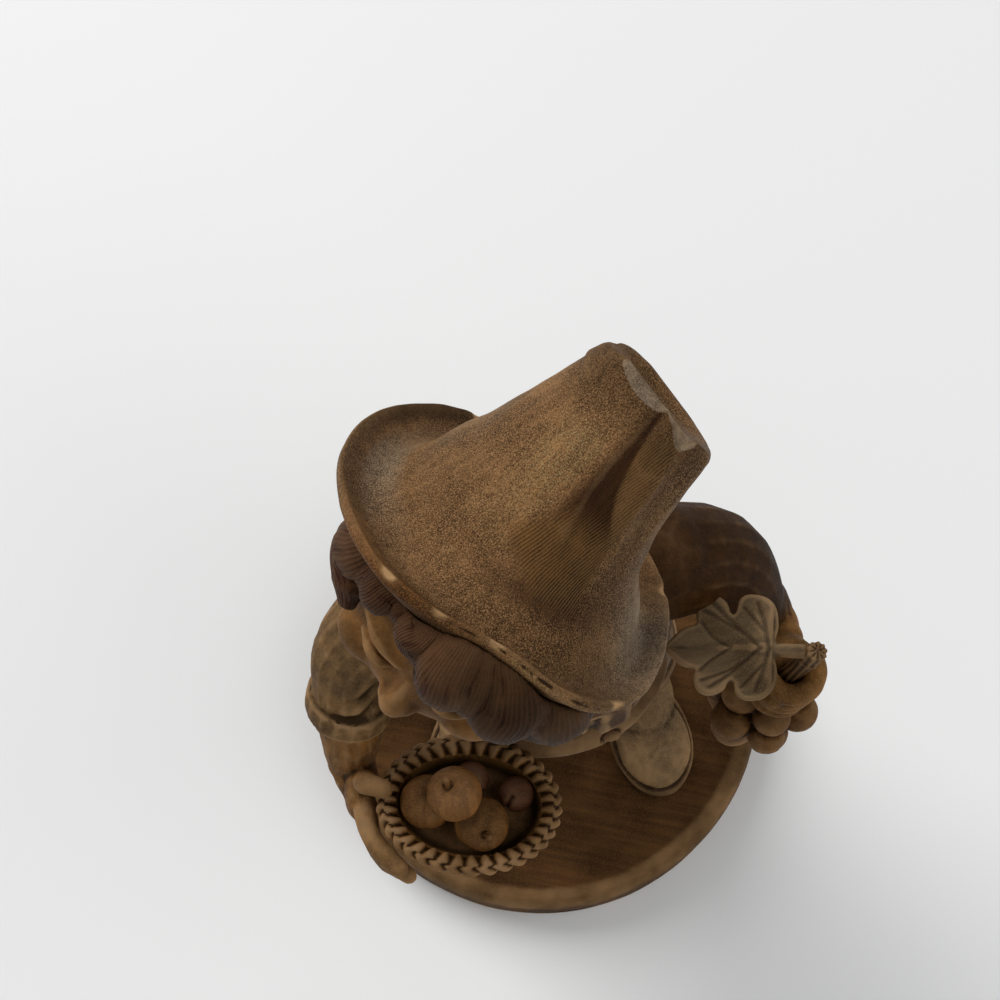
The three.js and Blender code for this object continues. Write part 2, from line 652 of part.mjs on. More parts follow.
// One long gouge cut up the crown, deepest at the top.
function gouge({ turn, deepest }) {
  const at = (height, depth) => {
    const out = crownRadius(height) + GOUGE_RADIUS - depth;
    return point(out * Math.cos(radians(turn)), out * Math.sin(radians(turn)), height);
  };
  const start = at(0.4 * HAT_CROWN_HEIGHT, 0);
  const middle = at(0.7 * HAT_CROWN_HEIGHT, 0.8 * deepest);
  const end = at(1.1 * HAT_CROWN_HEIGHT, deepest);
  const radii = [GOUGE_RADIUS, GOUGE_RADIUS, GOUGE_RADIUS];
  return limb([start, middle, end], radii, { sides: BODY_SIDES, steps: 4 });
}

const GOUGES = [
  { turn: -68, deepest: 0.8 },
  { turn: -14, deepest: 2 },
  { turn: 80, deepest: 1.6 },
  { turn: 162, deepest: 1.6 },
];

function hat() {
  const hole = dowelHole(point(0, 0, HAT_FOOT), point(0, 0, 1));
  return solid(turned(hatProfile())).subtract(join(GOUGES.map(gouge), beyondEnd(), hole));
}

// Arms

// The room that the trunk with its braces and the collar takes up beside an arm.
function shirtSpace() {
  return [trunk(BAND_RELIEF + GLUE_GAP), collarCloth(GLUE_GAP)];
}

// A sleeve from the shoulder to the elbow with its rolled cuff, and the bare forearm to the wrist.
function armForms(shoulder, bend, elbow, forearm, wrist) {
  const sleeveRadii = [SHOULDER_RADIUS, SLEEVE_RADIUS, SLEEVE_RADIUS - 0.6];
  const sleeve = limb([shoulder, bend, elbow], sleeveRadii, { steps: 8 });
  const down = new THREE.Vector3().subVectors(elbow, bend).normalize();
  const cuffEnd = elbow.clone().addScaledVector(down, CUFF_WIDTH / 2);
  const cuffStart = cuffEnd.clone().addScaledVector(down, -CUFF_WIDTH);
  const cuff = pin(cuffStart, cuffEnd, SLEEVE_RADIUS + CUFF_RELIEF - 0.6, LIMB_SIDES);
  const bare = limb([elbow, forearm, wrist], [FOREARM_RADIUS, FOREARM_RADIUS, WRIST_RADIUS], { steps: 8 });
  return [sleeve, cuff, bare];
}

const basketFrame = new THREE.Matrix4().makeRotationZ(radians(BASKET_TURN)).setPosition(BASKET_PLACE);

// The open hand against the basket's end: fingers lie along its wall, the thumb reaches over its rim.
function basketHand() {
  const reach = FINGER_RADIUS + BASKET_RIM + GLUE_GAP;
  const along = (degrees, height) =>
    point(
      (BASKET_HALF_LENGTH + reach) * Math.cos(radians(degrees)),
      (BASKET_HALF_DEPTH + reach) * Math.sin(radians(degrees)),
      height,
    );
  const fingers = [9.2, 6.5, 3.9, 1.4].map((height, index) => {
    const end = 238 - 6 * Math.abs(index - 1);
    const points = [along(172, height), along(195, height), along(218, height), along(end, height)];
    const radii = [FINGER_RADIUS, FINGER_RADIUS, FINGER_RADIUS, FINGER_RADIUS * 0.85];
    return limb(points, radii, { sides: FINGER_SIDES, steps: 4 });
  });
  const outside = BASKET_HALF_LENGTH + reach;
  const palm = ball(point(-outside - 0.9, 2.6, 5.6), point(2.2, 4.6, 6));
  const overRim = BASKET_HEIGHT + BASKET_RIM + FINGER_RADIUS + GLUE_GAP + 0.2;
  const thumb = limb(
    [
      point(-outside - 0.5, 3, 8),
      point(-outside, 2.2, 11.5),
      point(1.2 - outside, 1.4, overRim),
      point(3 - outside, 1, overRim),
    ],
    [FINGER_RADIUS * 1.2, FINGER_RADIUS * 1.1, FINGER_RADIUS, FINGER_RADIUS * 0.9],
    { sides: FINGER_SIDES, steps: 7 },
  );
  return [...fingers, palm, thumb].map((form) => form.applyMatrix4(basketFrame));
}

function rightArm() {
  const wrist = point(-BASKET_HALF_LENGTH - 5.6, 6, 6.5).applyMatrix4(basketFrame);
  const forearm = RIGHT_ELBOW.clone().lerp(wrist, 0.5);
  const forms = armForms(RIGHT_SHOULDER, RIGHT_SLEEVE_BEND, RIGHT_ELBOW, forearm, wrist);
  return join(forms, basketHand()).subtract(join(shirtSpace(), dowelHole(...RIGHT_SHOULDER_PIN)));
}

// Grapes, in their own frame: the origin is the middle of the fist, the bunch hangs along -Z

const grapeFrame = new THREE.Matrix4().makeRotationY(radians(BUNCH_LEAN)).setPosition(FIST_CENTRE);
const FIST_HALF_HEIGHT = 5.6;
const BUNCH_TOP = -FIST_HALF_HEIGHT - GRAPE_RADIUS - 0.6;

// The fist around the stem: four curled fingers, a palm and a thumb.
function fist() {
  const curl = STEM_RADIUS + FINGER_RADIUS + 0.5;
  const fingers = [-1.5, -0.5, 0.5, 1.5].map((step) => {
    const height = step * 1.8 * FINGER_RADIUS;
    const points = [60, 0, -60, -120, -170].map((degrees) =>
      point(curl * Math.cos(radians(degrees)), curl * Math.sin(radians(degrees)), height),
    );
    const radii = points.map(() => FINGER_RADIUS);
    return limb(points, radii, { sides: FINGER_SIDES, steps: 6 });
  });
  const palm = ball(point(0, 3.2, 0), point(4, 3, FIST_HALF_HEIGHT));
  const thumb = limb(
    [point(-3.4, 3, 1), point(-4.4, 0, 2), point(-2.8, -3.2, 2.6)],
    [FINGER_RADIUS * 1.2, FINGER_RADIUS * 1.1, FINGER_RADIUS],
    { sides: FINGER_SIDES },
  );
  return [...fingers, palm, thumb].map((form) => form.applyMatrix4(grapeFrame));
}

function leftArm() {
  const wrist = point(0.3, 5.4, -0.5).applyMatrix4(grapeFrame);
  const forearm = LEFT_ELBOW.clone().lerp(wrist, 0.5).add(point(0.8, 0, -0.8));
  const forms = armForms(LEFT_SHOULDER, LEFT_SLEEVE_BEND, LEFT_ELBOW, forearm, wrist);
  const stemSpace = stemPin(-FAR, FAR, GLUE_GAP).applyMatrix4(grapeFrame);
  return join(forms, fist()).subtract(join(shirtSpace(), stemSpace, dowelHole(...LEFT_SHOULDER_PIN)));
}

// How far the grapes' middles stand from the stem, from the top of the bunch (0) to its tip (1).
function bunchRadius(share) {
  return BUNCH_RADIUS * (1 - share) ** 0.7 * Math.min(1, 0.55 + 2 * share);
}

function grapes() {
  const layers = Math.round(BUNCH_LENGTH / (1.55 * GRAPE_RADIUS));
  const round = point(GRAPE_RADIUS, GRAPE_RADIUS, GRAPE_RADIUS);
  const balls = [];
  for (let layer = 0; layer <= layers; layer += 1) {
    const radius = bunchRadius(layer / layers);
    const count = Math.max(1, Math.round((2 * Math.PI * radius) / (1.95 * GRAPE_RADIUS)));
    const height = BUNCH_TOP - (BUNCH_LENGTH * layer) / layers;
    for (let index = 0; index < count; index += 1) {
      const turn = (2 * Math.PI * (index + 0.5 * layer)) / count;
      balls.push(ball(point(radius * Math.cos(turn), radius * Math.sin(turn), height), round, GRAPE_SIDES));
    }
  }
  const shares = [0.05, 0.35, 0.65, 0.9];
  const spine = shares.map((share) => point(0, 0, BUNCH_TOP - share * BUNCH_LENGTH));
  const core = limb(spine, shares.map((share) => bunchRadius(share) + 0.4), { sides: FINGER_SIDES });
  const stemHole = stemPin(BUNCH_TOP - STEM_GRIP - GLUE_GAP, FAR, GLUE_GAP);
  return join(balls, core).subtract(solid(stemHole));
}

// The stem between two heights, or the room for it.
function stemPin(from, to, play = 0) {
  return pin(point(0, 0, from), point(0, 0, to), STEM_RADIUS + play);
}

function stem() {
  return solid(stemPin(BUNCH_TOP - STEM_GRIP, FIST_HALF_HEIGHT + STEM_RISE));
}

// Half of the leaf's outline, from its stalk along the midrib (+X) to its tip, with two side lobes.
function halfLeaf(side) {
  const outline = new THREE.Shape();
  const across = side * LEAF_HALF_WIDTH;
  outline.moveTo(0, 0);
  outline.quadraticCurveTo(-0.12 * LEAF_LENGTH, 0.8 * across, 0.16 * LEAF_LENGTH, across);
  outline.quadraticCurveTo(0.32 * LEAF_LENGTH, 0.95 * across, 0.38 * LEAF_LENGTH, 0.6 * across);
  outline.quadraticCurveTo(0.52 * LEAF_LENGTH, 0.98 * across, 0.68 * LEAF_LENGTH, 0.86 * across);
  outline.quadraticCurveTo(0.72 * LEAF_LENGTH, 0.6 * across, 0.7 * LEAF_LENGTH, 0.45 * across);
  outline.quadraticCurveTo(0.92 * LEAF_LENGTH, 0.3 * across, LEAF_LENGTH, 0);
  outline.closePath();
  const blade = new THREE.ExtrudeGeometry(outline, {
    depth: LEAF_THICKNESS,
    bevelEnabled: false,
    curveSegments: 4,
  });
  return mergeVertices(blade).rotateX(radians(side * LEAF_FOLD));
}

function leaf() {
  const start = STEM_RADIUS + GLUE_GAP;
  const middle = LEAF_THICKNESS / 2;
  const along = [-LEAF_STALK, 0.5 * LEAF_LENGTH, 0.9 * LEAF_LENGTH].map((x) => point(x, 0, middle));
  const rib = limb(along, [1.1, 0.9, 0.6], { sides: FINGER_SIDES });
  const whole = [halfLeaf(-1), halfLeaf(1), rib].map((form) =>
    form
      .translate(start + LEAF_STALK, 0, 0)
      .rotateY(radians(LEAF_DROOP))
      .rotateZ(radians(LEAF_TURN))
      .translate(0, 0, FIST_HALF_HEIGHT + STEM_RISE - 2),
  );
  return join(whole).subtract(solid(stemPin(-FAR, FAR, GLUE_GAP)));
}

// Basket and fruit

function basketLevels(inset) {
  const share = (part, z) => ({
    z,
    half: BASKET_HALF_LENGTH * part - inset,
    front: BASKET_HALF_DEPTH * part - inset,
    back: BASKET_HALF_DEPTH * part - inset,
  });
  const middle = (1 + BASKET_FOOT) / 2 + 0.05;
  return [share(BASKET_FOOT, 0), share(middle, 0.4 * BASKET_HEIGHT), share(1, BASKET_HEIGHT)];
}

function basket() {
  const wall = column(basketLevels(0));
  const edge = { half: BASKET_HALF_LENGTH, front: BASKET_HALF_DEPTH, back: BASKET_HALF_DEPTH };
  const rim = column(
    [
      { ...edge, z: BASKET_HEIGHT - BASKET_RIM },
      { ...edge, z: BASKET_HEIGHT - 0.5 * BASKET_RIM },
      { ...edge, z: BASKET_HEIGHT + 0.5 * BASKET_RIM },
      { ...edge, z: BASKET_HEIGHT + BASKET_RIM },
    ],
    { grow: 0.6 * BASKET_RIM, steps: 3 },
  );
  const inside = column(
    [
      { ...levelAt(basketLevels(BASKET_WALL), BASKET_FLOOR / BASKET_HEIGHT), z: BASKET_FLOOR },
      { ...basketLevels(BASKET_WALL)[2], z: BASKET_HEIGHT + 2 * BASKET_RIM },
    ],
    { steps: 2 },
  );
  const toBasket = basketFrame.clone().invert();
  const belly = trunk(BAND_RELIEF + GLUE_GAP).applyMatrix4(toBasket);
  const hole = dowelHole(...BASKET_PIN, ...BASKET_PIN_SIZE).applyMatrix4(toBasket);
  return join(wall, rim).subtract(join(inside, belly, hole));
}

// A round fruit with a dimple at both ends; plums have a shallower one.
function fruit(radius, dimple) {
  const profile = [-90, -70, -50, -30, -10, 10, 30, 50, 70, 90].map((degrees) => {
    const out = Math.cos(radians(degrees));
    const up = Math.sin(radians(degrees)) - Math.sign(degrees) * dimple * (1 - out) ** 3;
    return [degrees % 90 ? radius * out : 0, radius * up];
  });
  return solid(turned(profile, LIMB_SIDES));
}

const FRUIT_SEAT = BASKET_FLOOR + GLUE_GAP;
const APPLE_DIMPLE = 0.35;
const PLUM_DIMPLE = 0.1;
const APPLE_LEFT = point(-6, 0, FRUIT_SEAT + APPLE_RADIUS);
const APPLE_RIGHT = point(2, -2.6, FRUIT_SEAT + APPLE_RADIUS);
const PLUM_BACK = point(0, 3.9, FRUIT_SEAT + PLUM_RADIUS);
const PLUM_SIDE = point(6.6, 2.2, FRUIT_SEAT + PLUM_RADIUS);

// The apple on top rests on the three fruits under it.
function topApplePlace() {
  const place = point(-2, 0.5, 0);
  const under = [[APPLE_LEFT, APPLE_RADIUS], [APPLE_RIGHT, APPLE_RADIUS], [PLUM_BACK, PLUM_RADIUS]];
  const heights = under.map(([centre, radius]) => {
    const apart = APPLE_RADIUS + radius + GLUE_GAP;
    const aside = Math.hypot(centre.x - place.x, centre.y - place.y);
    return centre.z + Math.sqrt(apart ** 2 - aside ** 2);
  });
  return place.setZ(Math.max(...heights));
}

function placed(mesh, place) {
  mesh.position.copy(place);
  return mesh;
}

function basketGroup() {
  const group = new THREE.Group();
  const apple = (name, place) => placed(piece(name, fruit(APPLE_RADIUS, APPLE_DIMPLE), HONEY_WOOD), place);
  const plum = (name, place) => placed(piece(name, fruit(PLUM_RADIUS, PLUM_DIMPLE), DARK_WALNUT), place);
  group.add(piece("basket", basket(), HONEY_WOOD));
  group.add(apple("apple_left", APPLE_LEFT), apple("apple_right", APPLE_RIGHT));
  group.add(apple("apple_top", topApplePlace()));
  group.add(plum("plum_back", PLUM_BACK), plum("plum_side", PLUM_SIDE));
  group.applyMatrix4(basketFrame);
  return group;
}

function grapeGroup() {
  const group = new THREE.Group();
  group.add(piece("grape_bunch", grapes(), DARK_WALNUT));
  group.add(piece("vine_stem", stem(), WALNUT));
  group.add(piece("vine_leaf", leaf(), HONEY_WOOD));
  group.applyMatrix4(grapeFrame);
  return group;
}

function headGroup() {
  const hatParts = new THREE.Group();
  hatParts.add(piece("hat", hat(), WALNUT));
  hatParts.add(piece("hat_dowel", solid(dowel(point(0, 0, HAT_FOOT), point(0, 0, 1))), BEECH));
  hatParts.applyMatrix4(hatFrame);
  const group = new THREE.Group();
  group.add(piece("head", head(), HONEY_WOOD), hatParts);
  group.applyMatrix4(headFrame);
  return group;
}

function figureGroup() {
  const pins = [RIGHT_SHOULDER_PIN, LEFT_SHOULDER_PIN, NECK_PIN, [...BASKET_PIN, ...BASKET_PIN_SIZE]];
  const pinNames = ["right_shoulder_dowel", "left_shoulder_dowel", "neck_dowel", "basket_dowel"];
  const group = new THREE.Group();
  group.add(piece("figure_body", body(pins.map((each) => dowelHole(...each))), WALNUT));
  group.add(piece("right_arm", rightArm(), WALNUT), piece("left_arm", leftArm(), WALNUT));
  pins.forEach((each, index) => group.add(piece(pinNames[index], solid(dowel(...each)), BEECH)));
  group.add(headGroup(), basketGroup(), grapeGroup());
  group.position.z = PLINTH_HEIGHT;
  return group;
}

const figurine = new THREE.Group();
figurine.name = "carved_boy_figurine";
figurine.add(plinth(), screw("screw_right", RIGHT_ANKLE), screw("screw_left", LEFT_ANKLE), figureGroup());

export default figurine;
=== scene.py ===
import math

import bpy
import numpy as np
from mathutils import Matrix, Vector
from mathutils.kdtree import KDTree


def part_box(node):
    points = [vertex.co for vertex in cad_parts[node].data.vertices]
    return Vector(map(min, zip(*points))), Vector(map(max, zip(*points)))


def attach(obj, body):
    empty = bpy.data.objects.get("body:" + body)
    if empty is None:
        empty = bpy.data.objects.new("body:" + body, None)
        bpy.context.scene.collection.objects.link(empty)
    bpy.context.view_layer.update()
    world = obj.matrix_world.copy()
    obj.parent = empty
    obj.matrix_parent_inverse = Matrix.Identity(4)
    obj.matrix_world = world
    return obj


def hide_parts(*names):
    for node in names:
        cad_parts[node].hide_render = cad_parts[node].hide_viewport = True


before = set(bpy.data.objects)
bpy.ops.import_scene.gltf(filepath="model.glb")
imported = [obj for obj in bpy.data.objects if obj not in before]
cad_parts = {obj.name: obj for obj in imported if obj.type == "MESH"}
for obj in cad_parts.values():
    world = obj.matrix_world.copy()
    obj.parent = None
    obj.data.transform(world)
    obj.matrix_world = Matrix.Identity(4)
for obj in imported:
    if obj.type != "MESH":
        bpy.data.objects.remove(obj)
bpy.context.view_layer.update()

# Sizes in millimetres and slants in degrees; heights on the figure count from the plinth's top
MM = 0.001
PLINTH_RADIUS = 39
PLINTH_HEIGHT = 12
PLINTH_EDGE = 3.5
TURNED_LINE_HEIGHT = 3.0
SCREW_HOLE_RADIUS = 3.5
SCREW_HOLE_DEPTH = 2.8
WAIST_HEIGHT = 72
HEM_HEIGHT = 34
HEM_RADIUS = 9.8
NECK_HEIGHT = 114
NECK_PLACE = (-7.5, -7.5)
BAND_WIDTH = 5
BAND_RELIEF = 0.8
BRACE_WIDTH = 4.6
BRACE_SPACING = 8.5
BRACE_MIDDLE = -2.6
BRACE_BAR_HEIGHT = 91
HEAD_PLACE = (-10.8, -12.5, 140)
HEAD_HALF_WIDTH = 15.2
HEAD_FRONT = 15.2
HEAD_BACK = 15.6
CROWN_RISE = 18
HAIR_DEPTH = 2.2
LOCK_COUNT = 14
LOCK_RADIUS = 3
LOCK_LENGTH = 11
LOCK_SWEEP = 14
HAT_SEAT = 4.5
HAT_FOOT = -1.8
HAT_CLEARANCE = 0.3
HAT_CROWN_HEIGHT = 33
HAT_TOP_RADIUS = 7.4
HAT_END_SLANT = 22
GOUGE_RADIUS = 9
FINGER_RADIUS = 1.55
BASKET_PLACE = (-15.9, -28.8, 62)
BASKET_HALF_LENGTH = 12.2
BASKET_HALF_DEPTH = 9
BASKET_HEIGHT = 12
BASKET_FLOOR = 7.5
BASKET_RIM = 1.1
APPLE_RADIUS = 3.9
PLUM_RADIUS = 2.6
GRAPES_PLACE = (30, -19, 86.5)
GRAPE_RADIUS = 2.9
BUNCH_LENGTH = 22
BUNCH_RADIUS = 7
STEM_RADIUS = 1.3
FIST_HALF_HEIGHT = 5.6
STEM_TOP = FIST_HALF_HEIGHT + 12
BUNCH_TOP = -FIST_HALF_HEIGHT - GRAPE_RADIUS - 0.6
LEAF_LENGTH = 14
LEAF_HALF_WIDTH = 7

# Where the ankles stand on the plinth, by side: -1 is the figure's right and 1 its left
ANKLES = {-1: (-12, 0.5), 1: (16, -0.5)}

# Where the hat's brim is pressed up: a direction round the hat in degrees, and a width in radians
BRIM_PRESSED = -76
BRIM_PRESS_WIDTH = 0.48


def turned(axis, degrees):
    return Matrix.Rotation(math.radians(degrees), 4, axis)


# Where each group of pieces stands
FIGURE = Matrix.Translation((0, 0, PLINTH_HEIGHT))
HEAD = FIGURE @ Matrix.Translation(HEAD_PLACE) @ turned("Z", -45) @ turned("X", -6) @ turned("Y", 8)
HAT_TURN = turned("X", -41) @ turned("Y", 2)
HAT_AXIS = HAT_TURN @ Vector((0, 0, 1))
HAT = HEAD @ Matrix.Translation(HAT_SEAT * HAT_AXIS) @ HAT_TURN
BASKET = FIGURE @ Matrix.Translation(BASKET_PLACE) @ turned("Z", -12)
GRAPES = FIGURE @ Matrix.Translation(GRAPES_PLACE) @ turned("Y", 8)

# Stains, painted shade and other colours, as linear values
SHIRT_STAIN = (0.128, 0.076, 0.032)
# Painted shade: the left sleeve is coloured darker, as it lies on the figure's shaded side
SLEEVE_PAINTED_SHADE = (0.036, 0.015, 0.004)
TROUSER_STAIN = (0.084, 0.046, 0.019)
BRACE_STAIN = (0.060, 0.029, 0.011)
SKIN_STAIN = (0.175, 0.085, 0.026)
HAIR_STAIN = (0.038, 0.015, 0.008)
HAIR_LIGHT = (0.140, 0.060, 0.030)
STOCKING_STAIN = (0.150, 0.094, 0.046)
SHOE_STAIN = (0.190, 0.122, 0.064)
SOLE_STAIN = (0.050, 0.024, 0.010)
HAT_STAIN = (0.176, 0.099, 0.045)
BASKET_STAIN = (0.185, 0.092, 0.029)
APPLE_STAIN = (0.160, 0.076, 0.024)
PLUM_STAIN = (0.075, 0.028, 0.013)
GRAPE_STAIN = (0.100, 0.044, 0.011)
STEM_STAIN = (0.095, 0.052, 0.022)
LEAF_STAIN = (0.098, 0.064, 0.030)
PLINTH_STAIN = (0.066, 0.031, 0.010)
DOWEL_STAIN = (0.380, 0.230, 0.110)
BARE_WOOD = (0.460, 0.275, 0.125)
DEEP_STAIN = (0.012, 0.005, 0.002)
DUST = (0.200, 0.160, 0.118)
FLECK_LIMIT = (0.420, 0.300, 0.190)
STEEL = (0.360, 0.350, 0.330)
RUST = (0.160, 0.090, 0.050)
PALE_FLOOR = (0.900, 0.900, 0.885)
GLOSS_TINT = (1.0, 0.72, 0.48)

# How strongly the wood shines
GLOSS = 0.06


# Bench tools


def pick(form):
    bpy.ops.object.select_all(action="DESELECT")
    form.select_set(True)
    bpy.context.view_layer.objects.active = form
    return form


def edit(form):
    pick(form)
    bpy.ops.object.mode_set(mode="EDIT")
    bpy.ops.mesh.select_all(action="SELECT")


def close_edit():
    bpy.ops.object.mode_set(mode="OBJECT")
    return bpy.context.object


def work(form, kind, **settings):
    """Adds a modifier with these settings and applies it."""
    pick(form)
    change = form.modifiers.new(kind.lower(), kind)
    for key, value in settings.items():
        setattr(change, key, value)
    bpy.ops.object.modifier_apply(modifier=change.name)
    return form


def even_skin(form, voxel, rounds):
    """One even skin over a form, smoothed for some rounds."""
    work(form, "REMESH", mode="VOXEL", voxel_size=voxel)
    return work(form, "SMOOTH", factor=0.5, iterations=rounds)


def put_in_place(form, place):
    """Moves and turns a form for good."""
    pick(form)
    form.matrix_world = place
    bpy.ops.object.transform_apply(location=True, rotation=True, scale=True)
    return form


def merge(forms):
    bpy.ops.object.select_all(action="DESELECT")
    for form in forms:
        form.select_set(True)
    bpy.context.view_layer.objects.active = forms[0]
    bpy.ops.object.join()
    return bpy.context.object


def ball(centre, radii):
    bpy.ops.object.select_all(action="DESELECT")
    bpy.ops.mesh.primitive_uv_sphere_add(segments=40, ring_count=24, radius=1, location=centre)
    bpy.context.object.scale = radii
    bpy.ops.object.transform_apply(location=True, rotation=True, scale=True)
    return bpy.context.object


def stack(levels, sides=16, smooth=3):
    """An upright form: a ring drawn up through levels (x, y, z, half width, front, back) and smoothed."""
    bpy.ops.object.select_all(action="DESELECT")
    bpy.ops.mesh.primitive_circle_add(vertices=sides, radius=1)
    edit(bpy.context.object)
    # The smoothing draws a ring in, so each starts larger by this much
    loosen = 6 / (4 + 2 * math.cos(2 * math.pi / sides))
    middle, size = Vector((0, 0, 0)), (1, 1)
    for index, (x, y, z, half, front, back) in enumerate(levels):
        if index:
            bpy.ops.mesh.extrude_region_move()
        place = Vector((x, y + (back - front) / 2, z))
        wanted = (half * loosen, (front + back) / 2 * loosen)
        ratio = (wanted[0] / size[0], wanted[1] / size[1], 1)
        bpy.ops.transform.resize(value=ratio, center_override=middle)
        bpy.ops.transform.translate(value=place - middle)
        middle, size = place, wanted
    bpy.ops.mesh.select_all(action="SELECT")
    bpy.ops.mesh.fill_holes(sides=0)
    bpy.ops.mesh.normals_make_consistent(inside=False)
    return work(close_edit(), "SUBSURF", levels=smooth, render_levels=smooth)


def line(points, radii, tilts=None):
    """A smooth curve through the points, with a radius and a twist at each."""
    bpy.ops.object.select_all(action="DESELECT")
    bpy.ops.curve.primitive_bezier_curve_add()
    made = bpy.context.object
    spline = made.data.splines[0]
    spline.bezier_points.add(len(points) - 2)
    tilts = tilts or [0] * len(points)
    for knot, place, radius, tilt in zip(spline.bezier_points, points, radii, tilts):
        knot.co = place
        knot.radius = radius
        knot.tilt = tilt
        knot.handle_left_type = "AUTO"
        knot.handle_right_type = "AUTO"
    return made


def cross_section(points):
    """A closed outline to sweep along a curve."""
    bpy.ops.object.select_all(action="DESELECT")
    bpy.ops.curve.primitive_bezier_circle_add(radius=1)
    made = bpy.context.object
    made.data.splines.clear()
    spline = made.data.splines.new("POLY")
    spline.points.add(len(points) - 1)
    spline.use_cyclic_u = True
    for knot, (x, y) in zip(spline.points, points):
        knot.co = (x, y, 0, 1)
    return made


def swept(section, path, finer=9):
    """A form of one cross-section along a curve, with closed ends."""
    path.data.bevel_mode = "OBJECT"
    path.data.bevel_object = section
    path.data.use_fill_caps = True
    path.data.resolution_u = finer
    pick(path)
    bpy.ops.object.convert(target="MESH")
    return bpy.context.object


def tube(points, radii):
    """A round rod along a smooth curve, with flat ends."""
    made = line(points, radii)
    made.data.bevel_depth = 1
    made.data.bevel_resolution = 6
    made.data.resolution_u = 10
    made.data.use_fill_caps = True
    bpy.ops.object.convert(target="MESH")
    return bpy.context.object


def limb(points, radii):
    """A round rod along a smooth curve, with round ends."""
    ends = [ball(points[0], [radii[0]] * 3), ball(points[-1], [radii[-1]] * 3)]
    return merge([tube(points, radii), *ends])


def spun(outline, steps=200, finer=6):
    """A turned form: its half outline as (radius, height) points, drawn smooth and spun round."""
    made = line([(radius, 0, height) for radius, height in outline], [1] * len(outline))
    made.data.resolution_u = finer
    bpy.ops.object.convert(target="MESH")
    edit(bpy.context.object)
    bpy.ops.mesh.spin(steps=steps, angle=2 * math.pi, center=(0, 0, 0), axis=(0, 0, 1))
    bpy.ops.mesh.select_all(action="SELECT")
    bpy.ops.mesh.remove_doubles(threshold=0.001)
    bpy.ops.mesh.normals_make_consistent(inside=False)
    return close_edit()


def saw_off(form, place, direction):
    """Takes away what lies beyond a plane and closes the cut."""
    edit(form)
    bpy.ops.mesh.bisect(plane_co=place, plane_no=direction, use_fill=True, clear_outer=True)
    return close_edit()


def fuse(forms, voxel, rounds=3):
    """One even skin over overlapping forms, and the number of the form nearest to each of its points."""
    tree = KDTree(sum(len(form.data.vertices) for form in forms))
    owners = []
    for number, form in enumerate(forms):
        for vertex in form.data.vertices:
            tree.insert(vertex.co, len(owners))
            owners.append(number)
    tree.balance()
    whole = even_skin(merge(forms), voxel, rounds)
    nearest = [owners[tree.find(vertex.co)[1]] for vertex in whole.data.vertices]
    return whole, np.array(nearest)


# Carving tools, which move the points of a skin


def points_of(form):
    flat = np.empty(3 * len(form.data.vertices), np.float32)
    form.data.vertices.foreach_get("co", flat)
    return flat.reshape(-1, 3).astype(float)


def normals_of(form):
    flat = np.empty(3 * len(form.data.vertices), np.float32)
    form.data.vertex_normals.foreach_get("vector", flat)
    return flat.reshape(-1, 3).astype(float)


def put_points(form, points):
    form.data.vertices.foreach_set("co", points.astype(np.float32).ravel())
    form.data.update()


def raise_skin(form, height):
    """Lifts each point along its normal; a negative height cuts in."""
    put_points(form, points_of(form) + normals_of(form) * height[:, None])


def ease(values):
    """0 below 0, 1 above 1, smooth between."""
    share = np.clip(values, 0, 1)
    return share * share * (3 - 2 * share)


def hump(distance, width):
    """1 at no distance, falling smoothly to 0 on both sides."""
    return np.exp(-((distance / width) ** 2))


def sweep(points, count=8):
    """Points along a smooth curve through a few given ones."""
    knots = np.array(points, float)
    knots = np.vstack([2 * knots[0] - knots[1], knots, 2 * knots[-1] - knots[-2]])
    found = []
    for before, start, end, after in zip(knots, knots[1:], knots[2:], knots[3:]):
        for share in np.linspace(0, 1, count, endpoint=False):
            bend = 2 * before - 5 * start + 4 * end - after
            twist = 3 * (start - end) + after - before
            found.append(start + 0.5 * share * (end - before + share * (bend + share * twist)))
    return np.array([*found, knots[-2]])


def angle_from(around, degrees):
    """Signed angle of each point from a direction, in radians."""
    return (around - math.radians(degrees) + math.pi) % (2 * math.pi) - math.pi


def towards(around, degrees, width):
    """1 in a direction given in degrees, falling smoothly to 0 beside it over a width in radians."""
    return hump(angle_from(around, degrees), width)


def around_and_out(points):
    """Direction of each point round the Z axis, in radians, and its distance from the axis."""
    return np.arctan2(points[:, 1], points[:, 0]), np.hypot(points[:, 0], points[:, 1])


def gap_to(points, path):
    """How far each point is from a line of points, and how far along the line it is, from 0 to 1."""
    least, along = np.full(len(points), np.inf), np.zeros(len(points))
    for index, (start, end) in enumerate(zip(path, path[1:])):
        way = end - start
        share = np.clip((points - start) @ way / (way @ way), 0, 1)
        gap = np.linalg.norm(points - start - share[:, None] * way, axis=1)
        along = np.where(gap < least, (index + share) / (len(path) - 1), along)
        least = np.minimum(least, gap)
    return least, along


def groove(points, path, width, fading=False):
    """1 on a line through a few points, falling to 0 beside it and, if fading, towards its ends."""
    drawn = sweep(path)
    depth = np.zeros(len(points))
    reach = 3 * width
    inside = np.all((points > drawn.min(0) - reach) & (points < drawn.max(0) + reach), axis=1)
    near = np.flatnonzero(inside)
    if near.size:
        gap, along = gap_to(points[near], drawn)
        fade = ease(3.5 * np.minimum(along, 1 - along)) if fading else 1
        depth[near] = fade * hump(gap, width)
    return depth


def neighbours_mean(values, edges, count):
    """The mean of each point's neighbours along the edges."""
    first, second = edges[:, 0], edges[:, 1]
    columns = []
    for column in values.T:
        total = np.bincount(first, column[second], count) + np.bincount(second, column[first], count)
        columns.append(total)
    shared = np.bincount(first, minlength=count) + np.bincount(second, minlength=count)
    return np.stack(columns, 1) / np.maximum(shared, 1)[:, None]


